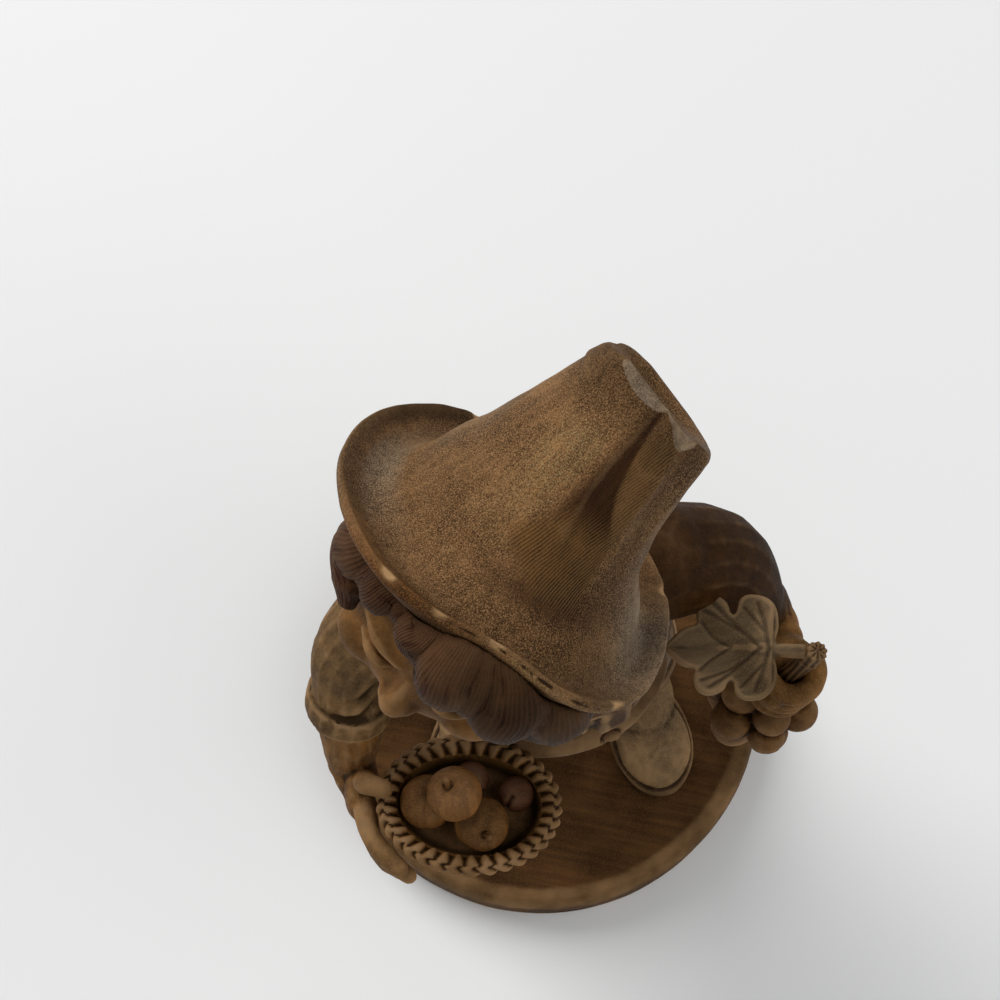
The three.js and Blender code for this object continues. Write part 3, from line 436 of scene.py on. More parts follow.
def edges_of(form):
    flat = np.empty(2 * len(form.data.edges), np.int32)
    form.data.edges.foreach_get("vertices", flat)
    return flat.reshape(-1, 2)


def note(form, name, values):
    """Keeps a number or a colour for each point, for the material to read."""
    if values.ndim == 1:
        kept = form.data.attributes.new(name, "FLOAT", "POINT")
        kept.data.foreach_set("value", values.astype(np.float32))
        return
    kept = form.data.attributes.new(name, "FLOAT_COLOR", "POINT")
    opaque = np.hstack([values, np.ones((len(values), 1))])
    kept.data.foreach_set("color", opaque.astype(np.float32).ravel())


FINE_ROUNDS, FINE_DEPTH = 6, 0.10
BROAD_ROUNDS, BROAD_DEPTH = 36, 0.42


def note_hollows(form, more=0, share=1):
    """Keeps how hollow and how sharp the skin is at each point, from how far smoothing would move it."""
    points, normals, edges = points_of(form), normals_of(form), edges_of(form)
    soft, hollow, sharp = points, np.zeros(len(points)), np.zeros(len(points))
    done = 0
    for rounds, depth, edge in ((FINE_ROUNDS, FINE_DEPTH, 1), (BROAD_ROUNDS, BROAD_DEPTH, 0.35)):
        for _ in range(rounds - done):
            soft = neighbours_mean(soft, edges, len(points))
        done = rounds
        lift = ((soft - points) * normals).sum(1) / depth
        hollow = np.maximum(hollow, np.clip(lift, 0, 1))
        sharp = np.maximum(sharp, edge * np.clip(-lift, 0, 1))
    note(form, "hollow", np.clip(share * hollow + more, 0, 1))
    note(form, "sharp", sharp)


def note_stain(form, owners, stains):
    """Keeps the stain of the nearest form at each point, run together a little at the borders."""
    colours = np.array(stains)[owners]
    edges = edges_of(form)
    for _ in range(2):
        colours = 0.5 * colours + 0.5 * neighbours_mean(colours, edges, len(colours))
    note(form, "stain", colours)


def plain_finish(form, stain, share=1):
    """Keeps how hollow and sharp a piece is, and one stain all over it."""
    note_hollows(form, share=share)
    note(form, "stain", np.tile(stain, (len(form.data.vertices), 1)))


def tool_marks(form, size, depth, pattern="VORONOI"):
    """Shallow scoops all over, as a gouge leaves them."""
    texture = bpy.data.textures.new("gouge_scoops", pattern)
    texture.noise_scale = size
    settings = {"texture": texture, "strength": depth, "mid_level": 0.5, "texture_coords": "LOCAL"}
    return work(form, "DISPLACE", **settings)


def settle(form, name, nodes, material, place):
    """Puts a finished piece in its place, in metres, under the root, and hides the solids that it stands
    for.
    """
    put_in_place(form, Matrix.Scale(MM, 4) @ place)
    bpy.ops.object.shade_smooth()
    form.name = name
    form.data.name = name
    form.data.materials.clear()
    form.data.materials.append(material)
    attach(form, "root")
    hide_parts(*nodes)
    return form


# Materials


def node(tree, kind, sockets=None, **settings):
    made = tree.nodes.new(kind)
    for key, value in settings.items():
        setattr(made, key, value)
    for socket, value in (sockets or {}).items():
        if isinstance(value, bpy.types.NodeSocket):
            tree.links.new(value, made.inputs[socket])
        else:
            made.inputs[socket].default_value = value
    return made


def math_node(tree, operation, first, second=0.0, third=0.0):
    return node(tree, "ShaderNodeMath", {0: first, 1: second, 2: third}, operation=operation).outputs[0]


def mix_colour(tree, share, first, second, blend="MIX"):
    """Two colours mixed; the node has them in its sockets 6 and 7, and the result in its output 2."""
    made = node(tree, "ShaderNodeMix", {0: share, 6: first, 7: second}, data_type="RGBA", blend_type=blend)
    return made.outputs[2]


def ramp(tree, value, low, high):
    """A value spread from 0 at low to 1 at high."""
    made = node(tree, "ShaderNodeMapRange", {0: value, 1: low, 2: high}, interpolation_type="SMOOTHSTEP")
    return made.outputs[0]


def opaque(colour):
    return (*colour, 1)


def noise(tree, vector, scale, detail=3.0):
    return node(tree, "ShaderNodeTexNoise", {"Vector": vector, "Scale": scale, "Detail": detail}).outputs[0]


def stretched(tree, vector, along):
    made = node(tree, "ShaderNodeVectorMath", {0: vector, 1: (1, 1, along)}, operation="MULTIPLY")
    return made.outputs[0]


def new_group(name, inputs, outputs):
    tree = bpy.data.node_groups.new(name, "ShaderNodeTree")
    for label, kind in inputs.items():
        tree.interface.new_socket(label, in_out="INPUT", socket_type="NodeSocket" + kind)
    for label, kind in outputs.items():
        tree.interface.new_socket(label, in_out="OUTPUT", socket_type="NodeSocket" + kind)
    return tree, tree.nodes.new("NodeGroupInput").outputs


def close_group(tree, results):
    last = tree.nodes.new("NodeGroupOutput")
    for label, socket in results.items():
        tree.links.new(socket, last.inputs[label])
    return tree


def tinted(tree, colour, factors):
    return mix_colour(tree, 1.0, colour, opaque(factors), "MULTIPLY")


def wood_grain_group():
    """Fibres, pores, flecks and blotches of wood whose grain runs along the Z of its vector."""
    outputs = {"Fibre": "Float", "Pore": "Float", "Fleck": "Float", "Blotch": "Float"}
    tree, given = new_group("wood_grain", {"Vector": "Vector"}, outputs)
    fibre = noise(tree, stretched(tree, given["Vector"], 0.05), 900, 4)
    pore = noise(tree, stretched(tree, given["Vector"], 0.6), 6600, 3)
    fleck = noise(tree, stretched(tree, given["Vector"], 0.8), 7200, 3)
    blotch = noise(tree, given["Vector"], 110, 4)
    return close_group(tree, {
        "Fibre": ramp(tree, fibre, 0.28, 0.72),
        "Pore": ramp(tree, pore, 0.49, 0.59),
        "Fleck": ramp(tree, fleck, 0.51, 0.60),
        "Blotch": ramp(tree, blotch, 0.32, 0.68),
    })


def old_stain_group():
    """Stain that has gathered in the hollows, worn off the edges and gone grey with dust on top."""
    colours = ("Stain", "Bare", "Deep", "Dust")
    grain = ("Fibre", "Pore", "Fleck", "Blotch", "Speckle")
    surface = ("Hollow", "Sharp", "Rubbed", "Upward")
    finish = ("Wear", "Dusty", "Figure")
    inputs = dict.fromkeys(colours, "Color") | dict.fromkeys(grain + surface + finish, "Float")
    outputs = {"Color": "Color", "Roughness": "Float", "Height": "Float"}
    tree, given = new_group("old_stain", inputs, outputs)
    dark_fibre = tinted(tree, given["Stain"], (0.62, 0.58, 0.54))
    light_fibre = tinted(tree, given["Stain"], (1.36, 1.34, 1.28))
    streaked = mix_colour(tree, given["Fibre"], dark_fibre, light_fibre)
    grained = mix_colour(tree, given["Figure"], given["Stain"], streaked)
    cool = tinted(tree, grained, (0.60, 0.57, 0.55))
    warm = tinted(tree, grained, (1.32, 1.20, 1.02))
    blotched = mix_colour(tree, given["Blotch"], cool, warm)
    dots = math_node(tree, "MULTIPLY", given["Pore"], given["Speckle"])
    pored = mix_colour(tree, math_node(tree, "MULTIPLY", dots, 0.5), blotched, given["Deep"])
    bright = tinted(tree, given["Stain"], (2.7, 2.6, 2.5))
    bright = mix_colour(tree, 1.0, bright, opaque(FLECK_LIMIT), "DARKEN")
    flecks = math_node(tree, "MULTIPLY", given["Fleck"], given["Speckle"])
    flecked = mix_colour(tree, math_node(tree, "MULTIPLY", flecks, 0.55), pored, bright)
    patch = math_node(tree, "MULTIPLY_ADD", given["Blotch"], 0.7, 0.3)
    edges = math_node(tree, "MULTIPLY", ramp(tree, given["Sharp"], 0.15, 0.9), given["Wear"])
    bare = math_node(tree, "MULTIPLY", math_node(tree, "MAXIMUM", edges, given["Rubbed"]), patch)
    worn = mix_colour(tree, bare, flecked, given["Bare"])
    film = math_node(tree, "MULTIPLY", ramp(tree, given["Upward"], 0.2, 0.95), given["Dusty"])
    dust = math_node(tree, "MULTIPLY", film, patch)
    dusted = mix_colour(tree, dust, worn, given["Dust"])
    gathered = math_node(tree, "MULTIPLY", ramp(tree, given["Hollow"], 0.06, 0.95), 0.9)
    colour = mix_colour(tree, gathered, dusted, given["Deep"])
    rough = math_node(tree, "MULTIPLY_ADD", given["Pore"], 0.16, 0.55)
    rougher = math_node(tree, "MULTIPLY_ADD", dust, 0.4, rough)
    height = math_node(tree, "SUBTRACT", given["Fibre"], given["Pore"])
    return close_group(tree, {"Color": colour, "Roughness": rougher, "Height": height})


WOOD_GRAIN = wood_grain_group()
OLD_STAIN = old_stain_group()


def noted(tree, name, output="Fac"):
    """What a piece keeps for each point under this name."""
    return node(tree, "ShaderNodeAttribute", attribute_name=name).outputs[output]


def new_material(name):
    made = bpy.data.materials.new(name)
    made.use_nodes = True
    return made, made.node_tree, made.node_tree.nodes["Principled BSDF"]


def object_place(tree):
    return node(tree, "ShaderNodeTexCoord").outputs["Object"]


def set_bump(tree, shader, height, strength, distance):
    """Bumps a shader's surface by a height, on top of any bump that it has."""
    sockets = {"Strength": strength, "Distance": distance, "Height": height}
    for link in shader.inputs["Normal"].links:
        sockets["Normal"] = link.from_socket
    bump = node(tree, "ShaderNodeBump", sockets)
    tree.links.new(bump.outputs[0], shader.inputs["Normal"])


def carved_wood(name, grain=None, wear=0.5, dusty=0.3, figure=0.8, speckle=0.5):
    """Stained carving wood; grain is the turn that brings the grain upright."""
    made, tree, shader = new_material(name)
    turn = (grain or Matrix()).to_euler()
    laid = node(tree, "ShaderNodeMapping", {"Vector": object_place(tree), "Rotation": turn}).outputs[0]
    fibres = node(tree, "ShaderNodeGroup", node_tree=WOOD_GRAIN)
    tree.links.new(laid, fibres.inputs["Vector"])
    normal = node(tree, "ShaderNodeNewGeometry").outputs["Normal"]
    upward = node(tree, "ShaderNodeSeparateXYZ", {0: normal}).outputs["Z"]
    sources = {"Stain": noted(tree, "stain", "Color"), "Upward": upward}
    for label in ("Hollow", "Sharp", "Rubbed"):
        sources[label] = noted(tree, label.lower())
    for label in ("Fibre", "Pore", "Fleck", "Blotch"):
        sources[label] = fibres.outputs[label]
    open_grain = math_node(tree, "SUBTRACT", 1.0, noted(tree, "smooth"))
    sources["Speckle"] = math_node(tree, "MULTIPLY", open_grain, speckle)
    old = node(tree, "ShaderNodeGroup", node_tree=OLD_STAIN)
    for label, socket in sources.items():
        tree.links.new(socket, old.inputs[label])
    values = {"Bare": opaque(BARE_WOOD), "Deep": opaque(DEEP_STAIN), "Dust": opaque(DUST)}
    values |= {"Wear": wear, "Dusty": dusty, "Figure": figure}
    for label, value in values.items():
        old.inputs[label].default_value = value
    tree.links.new(old.outputs["Color"], shader.inputs["Base Color"])
    tree.links.new(old.outputs["Roughness"], shader.inputs["Roughness"])
    set_bump(tree, shader, old.outputs["Height"], strength=0.6, distance=0.00005)
    shader.inputs["Specular IOR Level"].default_value = GLOSS
    shader.inputs["Specular Tint"].default_value = opaque(GLOSS_TINT)
    return made


def stroked_wood(name, pitch, light, clear=0.34, **settings):
    """Carved wood with fine lines cut along its strokes; light is the colour of the lines' ridges."""
    made = carved_wood(name, **settings)
    tree = made.node_tree
    waver = noise(tree, object_place(tree), 260, 2)
    across = math_node(tree, "MULTIPLY_ADD", waver, 0.5, noted(tree, "stroke"))
    wave = math_node(tree, "SINE", math_node(tree, "MULTIPLY", across, 2 * math.pi / pitch))
    lines = math_node(tree, "MULTIPLY", wave, noted(tree, "planed"))
    shader = tree.nodes["Principled BSDF"]
    set_bump(tree, shader, lines, strength=0.7, distance=0.00006)
    stain = shader.inputs["Base Color"].links[0].from_socket
    share = math_node(tree, "MULTIPLY", ramp(tree, lines, 0.0, 1.0), clear)
    colour = mix_colour(tree, share, stain, opaque(light))
    tree.links.new(colour, shader.inputs["Base Color"])
    return made


def dowel_wood():
    """Plain turned beech, unstained."""
    made, tree, shader = new_material("dowel_wood")
    grain = node(tree, "ShaderNodeGroup", node_tree=WOOD_GRAIN)
    tree.links.new(object_place(tree), grain.inputs["Vector"])
    pale = opaque(DOWEL_STAIN)
    brown = opaque([0.6 * part for part in DOWEL_STAIN])
    tree.links.new(mix_colour(tree, grain.outputs["Fibre"], brown, pale), shader.inputs["Base Color"])
    set_bump(tree, shader, grain.outputs["Pore"], strength=0.4, distance=0.0001)
    shader.inputs["Roughness"].default_value = 0.65
    return made


def screw_steel():
    """Dull zinc-grey steel with brushed lines and a little rust in spots."""
    made, tree, shader = new_material("screw_steel")
    place = object_place(tree)
    spots = ramp(tree, noise(tree, place, 700, 4), 0.52, 0.68)
    scratches = noise(tree, stretched(tree, place, 0.1), 4000, 2)
    colour = mix_colour(tree, spots, opaque(STEEL), opaque(RUST))
    tree.links.new(colour, shader.inputs["Base Color"])
    tree.links.new(math_node(tree, "MULTIPLY_ADD", spots, 0.4, 0.32), shader.inputs["Roughness"])
    set_bump(tree, shader, scratches, strength=0.3, distance=0.00005)
    shader.inputs["Metallic"].default_value = 1
    return made


# Plinth


def plinth():
    edge, top = PLINTH_RADIUS, PLINTH_HEIGHT
    outline = [(0, 0), (20, 0), (edge - 1.2, 0), (edge - 0.2, 0.5), (edge, 1.4), (edge, 4.5)]
    for angle in (0, 25, 50, 75, 90):
        turn = math.radians(angle)
        out = edge - PLINTH_EDGE + PLINTH_EDGE * math.cos(turn)
        outline.append((out, top - PLINTH_EDGE + PLINTH_EDGE * math.sin(turn)))
    outline += [(edge - 8, top), (20, top), (0, top)]
    form = spun(outline, steps=240, finer=8)
    hole = {"radius": SCREW_HOLE_RADIUS, "depth": 2 * SCREW_HOLE_DEPTH}
    for x, y in ANKLES.values():
        bpy.ops.mesh.primitive_cylinder_add(vertices=48, **hole)
        drill = bpy.context.object
        drill.location = (x, y, 0)
        work(form, "BOOLEAN", operation="DIFFERENCE", object=drill)
        bpy.data.objects.remove(drill)
    even_skin(form, voxel=0.5, rounds=4)
    points = points_of(form)
    out = np.hypot(points[:, 0], points[:, 1])
    turned_line = [(edge, TURNED_LINE_HEIGHT), (edge, TURNED_LINE_HEIGHT + 0.05)]
    raise_skin(form, -0.35 * groove(np.stack([out, points[:, 2]], 1), turned_line, 0.45))
    planed = points_of(form)
    tool_marks(form, size=9, depth=0.25, pattern="CLOUDS")
    under = ease((1.2 - planed[:, 2]) / 0.8)[:, None]
    resting = under * planed + (1 - under) * points_of(form)
    resting[:, 2] = np.maximum(resting[:, 2], 0)
    put_points(form, resting)
    plain_finish(form, PLINTH_STAIN)
    wood = carved_wood("plinth_wood", turned("Y", 90) @ turned("Z", 20), wear=0.45, dusty=0.05)
    return settle(form, "plinth", ["base_plinth"], wood, Matrix())


# Body, from the plinth's top

# Levels of the trunk, as (x, y, height, half width, front, back)
TRUNK = [
    (-1, -1, 47, 14, 10, 11.5),
    (-1, -2, 55, 17.5, 14, 13.5),
    (-1.3, -3.5, 63, 18, 16.5, 13),
    (-1.8, -5, WAIST_HEIGHT, 17.2, 18, 11.5),
    (-2.6, -5.5, 83.5, 18.1, 17.2, 11.5),
    (-3.6, -5.5, 95, 19.5, 15, 11.5),
    (-4.6, -5.5, 103.5, 18, 12, 11.5),
    (-5.6, -6, 109, 14, 10, 10.5),
    (*NECK_PLACE, NECK_HEIGHT, 9, 8, 8),
]
SHOE_TURNS = {-1: -12, 1: 8}
HIPS = {-1: (-9.5, -3), 1: (7.5, -3)}
HEMS = {-1: (-11, -0.6), 1: (11, -0.8)}


def trousers(side):
    (hem_x, hem_y), (hip_x, hip_y) = HEMS[side], HIPS[side]
    wide, tight = HEM_RADIUS, HEM_RADIUS - 2
    cloth = stack([
        (hem_x, hem_y, HEM_HEIGHT, wide, wide + 0.6, wide + 0.8),
        (hem_x, hem_y, HEM_HEIGHT + 1, wide, wide + 0.6, wide + 0.8),
        (hem_x, hem_y, HEM_HEIGHT + 6, wide, wide + 0.6, wide + 0.8),
        (0.5 * hem_x + 0.5 * hip_x, hip_y, 52, wide - 0.6, wide + 0.8, wide - 0.4),
        (hip_x, hip_y, 62, tight, wide + 1, tight),
        (hip_x, hip_y, 64, tight, wide + 1, tight),
    ])
    fold = wide + 0.75
    rolled = stack([
        (hem_x, hem_y, HEM_HEIGHT - 0.6, fold - 0.5, fold + 0.1, fold + 0.3),
        (hem_x, hem_y, HEM_HEIGHT - 0.3, fold, fold + 0.6, fold + 0.8),
        (hem_x, hem_y, HEM_HEIGHT + 2, fold, fold + 0.6, fold + 0.8),
        (hem_x, hem_y, HEM_HEIGHT + 3.8, fold, fold + 0.6, fold + 0.8),
        (hem_x, hem_y, HEM_HEIGHT + 4.2, fold - 0.6, fold, fold + 0.2),
    ])
    return [cloth, rolled]


def leg_middle(side, height):
    """Where the middle of a leg is at a height."""
    (ankle_x, ankle_y), (hip_x, _) = ANKLES[side], HIPS[side]
    share = np.interp(height, [4, 12, 20, 23, 26, 31, 50], [0, 0.05, 0.15, 0.18, 0.22, 0.35, 1])
    back = np.interp(height, [4, 12, 20, 23, 31, 50], [0, 0.3, 1, 0.6, -1, -2])
    return ankle_x + share * (hip_x - ankle_x), ankle_y + back


def leg_level(side, height, radius):
    x, y = leg_middle(side, height)
    return (x, y, height, radius, radius, radius)


def legs(side):
    stocking = [(4, 5.3), (8, 5.2), (12, 5.4), (16, 6.4), (20, 6.9), (22, 6.8), (24, 6.6)]
    roll = [(22.2, 6.6), (22.5, 7.6), (24, 8.1), (25.7, 7.6), (26, 6.6)]
    knee = [(22, 6.0), (26, 6.1), (30, 6.5), (34, 6.3), (42, 7.2), (50, 7.6)]
    return [stack([leg_level(side, *level) for level in part]) for part in (stocking, roll, knee)]


def shoe(side):
    """Upper, sole and laces of one shoe, toe along -Y before it is turned to its place."""
    upper = merge([
        ball((0, 4.0, 5.2), (5.3, 4.6, 5.4)),
        ball((0, -3.5, 5.4), (5.9, 9.5, 5.2)),
        ball((0, -12.5, 3.7), (6.4, 8.4, 4.4)),
    ])
    soles = []
    for y, half, reach in ((3.6, 6.0, 5.9), (-4, 6.2, 9), (-11.6, 7.2, 10.6)):
        edge = [(0, y, z, half, reach, reach) for z in (0.3, 0.5, 1.2, 2.0, 2.2)]
        soles.append(stack(edge, sides=32))
    laces = []
    for index in range(3):
        y, z = -1.2 - 2.7 * index, 10.5 - 0.75 * index
        across = [(-3.6, y + 0.5, z - 2.0), (0, y, z), (3.6, y - 0.5, z - 2.0)]
        laces.append(limb(across, [0.5, 0.6, 0.5]))
    place = Matrix.Translation((*ANKLES[side], 0)) @ turned("Z", SHOE_TURNS[side])
    return [put_in_place(form, place) for form in (upper, merge(soles), merge(laces))]


COLLAR_BAND = [
    (1.9, -4.6), (2.3, -4.4), (2.3, -3.9), (0.2, 3.9),
    (-0.3, 4.6), (-0.9, 4.7), (-1.3, 4.2), (0.4, -4.2),
]


def collar():
    """Turned-down collar: a slanted band bent round the neck, with its two points apart under the chin."""
    knots = []
    for degrees in np.linspace(-71, 251, 15):
        turn = math.radians(degrees)
        front = hump(abs(degrees - 90) - 161, 26)
        out = 10.1 + 0.9 * front
        x, y = NECK_PLACE[0] + out * math.cos(turn), NECK_PLACE[1] + out * math.sin(turn)
        knots.append((x, y, NECK_HEIGHT + 0.4 - 1.3 * front))
    path = line(knots, [1] * len(knots))
    path.data.twist_mode = "Z_UP"
    section = cross_section(COLLAR_BAND)
    band = swept(section, path)
    bpy.data.objects.remove(section)
    return band


def neckband():
    """The shirt's neckband inside the collar."""
    levels = [(-5, 9.4), (-1, 9.0), (2.6, 8.6), (3.0, 8.2)]
    return stack([(*NECK_PLACE, NECK_HEIGHT + up, wide, wide, wide) for up, wide in levels], sides=24)


def trunk_front(height):
    """How far forward the trunk reaches at a height."""
    heights, reaches = zip(*[(z, y - front) for _, y, z, _, front, _ in TRUNK])
    return np.interp(height, heights, reaches)


def buttons():
    """Small domed buttons: where the braces meet the waistband, and down the shirt's front."""
    made = []
    for side in (-1, 1):
        x = BRACE_MIDDLE + side * BRACE_SPACING
        for y in (-21.6, 5.9):
            made.append(ball((x, y, WAIST_HEIGHT + 0.4), (1.35, 0.9, 1.35)))
    for height in (79.5, 86, 97.5, 103.5):
        made.append(ball((BRACE_MIDDLE, trunk_front(height) + 0.3, height), (1.05, 0.8, 1.05)))
    return merge(made)


# Fold and seam lines seen from the front, as (x, height)
SHIRT_FOLDS = [
    [(-19, 102), (-15, 95), (-13.5, 86), (-14, 78)],
    [(-17, 103), (-9, 98), (-6.5, 92)],
    [(13, 102), (9.5, 95), (8.5, 86), (9, 78)],
    [(11, 104), (4, 98), (2, 93)],
    [(-8.6, 84), (-8, 79.5), (-8.3, 75)],
    [(-5.6, 82), (-5.2, 78.5), (-5.6, 75)],
    [(0.6, 83), (0.3, 79), (0.8, 75)],
    [(3.4, 85), (3.0, 80), (3.3, 75)],
    [(-16.5, 84), (-15.8, 79.5), (-16.2, 75)],
    [(12.6, 84), (12, 79.5), (12.5, 75)],
]
TROUSER_FOLDS = [
    [(-1, 51), (-6, 55), (-13, 56)],
    [(-1, 52), (5, 56), (12, 57)],
    [(-2, 48), (-8, 49), (-15, 52)],
    [(0, 48), (6, 50), (14, 53)],
    [(-16, 44), (-10, 42.5), (-4, 44)],
    [(16, 44), (10, 42.5), (4, 44)],
    [(-17, 62), (-14, 60), (-9, 60)],
    [(15, 62), (12, 60), (7, 60)],
]
SEAMS = [
    [(-1.6, 69), (-1.4, 60), (-1, 50)],
    [(-0.2, 69), (0, 63), (-1.2, 58)],
    [(-10.5, 69), (-13.5, 65), (-16.6, 61)],
    [(7.5, 69), (10.5, 65), (13.6, 61)],
]
PLACKET = [
    [(BRACE_MIDDLE - 2, 75), (BRACE_MIDDLE - 2, 92), (BRACE_MIDDLE - 2.4, 109)],
    [(BRACE_MIDDLE + 2, 75), (BRACE_MIDDLE + 2, 92), (BRACE_MIDDLE + 1.6, 109)],
]


def strip(distance, width):
    """1 inside a strip, 0 outside, with a short slope at its edge."""
    return ease((width / 2 - np.abs(distance)) / 0.5 + 0.5)


def carve_clothes(form, shirt, trouser):
    """Cuts folds and seams, raises the braces and the waistband, and gives where these two are."""
    points, normals = points_of(form), normals_of(form)
    x, z = points[:, 0], points[:, 2]
    flat = points[:, [0, 2]]
    front = ease(-3 * normals[:, 1])
    back = ease(3 * normals[:, 1])
    height = np.zeros(len(points))
    for fold in SHIRT_FOLDS:
        height -= 0.7 * shirt * (front + 0.8 * back) * groove(flat, fold, 1.2, fading=True)
    for fold in TROUSER_FOLDS:
        height -= 0.7 * trouser * (front + 0.8 * back) * groove(flat, fold, 1.3, fading=True)
    for seam in SEAMS:
        height -= 0.35 * trouser * front * groove(flat, seam, 0.45)
    for seam in PLACKET:
        height -= 0.3 * shirt * front * groove(flat, seam, 0.45)
    above = ease((z - WAIST_HEIGHT) / 0.6)
    braces = np.zeros(len(points))
    for side in (-1, 1):
        braces = np.maximum(braces, strip(x - BRACE_MIDDLE - side * BRACE_SPACING, BRACE_WIDTH))
    bar = front * strip(z - BRACE_BAR_HEIGHT, BRACE_WIDTH) * strip(x - BRACE_MIDDLE, 2 * BRACE_SPACING)
    braces = np.maximum(braces, bar) * above * shirt
    band = np.maximum(shirt, trouser) * strip(z - WAIST_HEIGHT, BAND_WIDTH)
    raised = np.maximum(braces, band)
    raise_skin(form, height * (1 - raised) + BAND_RELIEF * raised)
    return raised


def carve_stockings(form, side, stocking):
    """Knitted ribs round a stocking."""
    points = points_of(form)
    x, y = leg_middle(side, points[:, 2])
    around = np.arctan2(points[:, 1] - y, points[:, 0] - x)
    raise_skin(form, 0.22 * stocking * np.cos(22 * around))


def figure_forms():
    """The forms of the body, and what each one is."""
    forms, kinds = [], []

    def add(kind, *made):
        forms.extend(made)
        kinds.extend([kind] * len(made))

    add("shirt", stack(TRUNK[3:], sides=24))
    add("trouser", stack(TRUNK[:4] + [(-1.9, -5, 73.5, 17.2, 18, 11.5)], sides=24))
    add("collar", collar(), neckband())
    add("brace", buttons())
    for side in (-1, 1):
        add("trouser", *trousers(side))
        stocking, roll, knee = legs(side)
        add("stocking" + str(side), stocking, roll)
        add("skin", knee)
        for kind, made in zip(("shoe", "sole", "brace"), shoe(side)):
            add(kind, made)
    return forms, kinds


def figure_piece():
    forms, kinds = figure_forms()
    whole, owners = fuse(forms, voxel=0.46, rounds=4)
    kind = np.array(kinds)[owners]
    tool_marks(whole, size=5, depth=0.35)
    raised = carve_clothes(whole, 1.0 * (kind == "shirt"), 1.0 * (kind == "trouser"))
    for side in (-1, 1):
        carve_stockings(whole, side, 1.0 * (kind == "stocking" + str(side)))
    note_hollows(whole, share=0.75)
    stains = {
        "shirt": SHIRT_STAIN, "collar": SHIRT_STAIN, "trouser": TROUSER_STAIN, "brace": BRACE_STAIN,
        "skin": SKIN_STAIN, "stocking-1": STOCKING_STAIN, "stocking1": STOCKING_STAIN,
        "shoe": SHOE_STAIN, "sole": SOLE_STAIN,
    }
    kind = np.where(raised > 0.4, "brace", kind)
    names = sorted(stains)
    note_stain(whole, np.searchsorted(names, kind), [stains[name] for name in names])
    wood = carved_wood("figure_wood", wear=0.55, dusty=0.15, speckle=0.6)
    return settle(whole, "figure", ["figure_body"], wood, FIGURE)


# Arms


def arm(shoulder, bend, elbow, middle, wrist, fullness=0):
    """The sleeve with its rolled cuff, and the bare forearm."""
    sleeve = limb([shoulder, bend, elbow], [7 + fullness, 6 + fullness, 5.4 + 0.5 * fullness])
    down = (Vector(elbow) - Vector(bend)).normalized()
    cuff_end = Vector(elbow) + 2.0 * down
    cuff = tube([cuff_end - 4.2 * down, cuff_end - 2.1 * down, cuff_end], [6.2, 6.4, 6.3])
    bare = limb([elbow, middle, wrist], [4.9, 4.6, 3.5])
    return [sleeve, cuff], bare


def arm_piece(clothes, skin):
    whole, owners = fuse([*clothes, *skin], voxel=0.35)
    is_cloth = 1.0 * (owners < len(clothes))
    tool_marks(whole, size=4.5, depth=0.25)
    return whole, is_cloth


def sleeve_folds(form, is_cloth, lines):
    points = points_of(form)
    depth = sum(groove(points, each, 1.1, fading=True) for each in lines)
    raise_skin(form, -0.7 * is_cloth * np.clip(depth, 0, 1))


def finish_arm(form, is_cloth, name, node_name, sleeve_colour, **finish):
    note_hollows(form, share=0.75)
    note_stain(form, 1 - is_cloth.astype(int), [sleeve_colour, SKIN_STAIN])
    wood = carved_wood(name + "_wood", **finish)
    return settle(form, name, [node_name], wood, FIGURE)


def moved(group_place, forms):
    """Turns forms from a group's own place to the figure's."""
    to_figure = FIGURE.inverted() @ group_place
    return [put_in_place(form, to_figure) for form in forms]


def basket_hand():
    """Fingers along the basket's outside and a thumb over its rim."""
    reach = FINGER_RADIUS + BASKET_RIM + 0.3

    def along(degrees, height):
        turn = math.radians(degrees)
        out, deep = BASKET_HALF_LENGTH + reach, BASKET_HALF_DEPTH + reach
        return (out * math.cos(turn), deep * math.sin(turn), height)

    fingers = []
    for index, height in enumerate((9.2, 6.5, 3.9, 1.4)):
        end = 238 - 6 * abs(index - 1)
        points = [along(degrees, height) for degrees in (172, 188, 206, 222, end)]
        fingers.append(limb(points, [1.5, 1.7, 1.45, 1.55, 1.25]))
    outside = BASKET_HALF_LENGTH + reach
    palm = ball((-outside - 0.9, 2.4, 5.4), (2.5, 5.0, 6))
    heel = limb(
        [(-outside - 2.4, 5.6, 6.6), (-outside - 1.6, 3.6, 5.6), (-outside - 0.6, 0.6, 5.2)],
        [3.4, 3.2, 2.4],
    )
    over = BASKET_HEIGHT + BASKET_RIM + FINGER_RADIUS + 0.5
    thumb = limb(
        [(-outside - 0.5, 3, 8), (-outside, 2.2, 11.5), (1.2 - outside, 1.4, over), (3 - outside, 1, over)],
        [1.85, 1.7, 1.55, 1.4],
    )
    return [*fingers, palm, heel, thumb]


def right_arm():
    elbow = Vector((-30.5, -13, 83))
    wrist = FIGURE.inverted() @ BASKET @ Vector((-BASKET_HALF_LENGTH - 5.6, 6, 6.5))
    clothes, bare = arm((-21.5, -5.5, 104.25), (-28, -8, 95), elbow, elbow.lerp(wrist, 0.5), wrist)
    hand = moved(BASKET, basket_hand())
    form, is_cloth = arm_piece(clothes, [bare, *hand])
    sleeve_folds(form, is_cloth, [
        [(-24, -13.5, 97), (-28.5, -15, 92), (-34, -12, 90)],
        [(-24.5, -14, 92), (-29, -17, 88), (-34.5, -15, 87)],
        [(-22, -0.5, 100), (-30, -1.5, 97), (-34, -6, 95)],
        [(-26, -2, 92), (-32, -5.5, 90), (-35.5, -10, 89)],
    ])
    return finish_arm(form, is_cloth, "right_arm_carving", "right_arm", SHIRT_STAIN, wear=0.5, dusty=0.2)


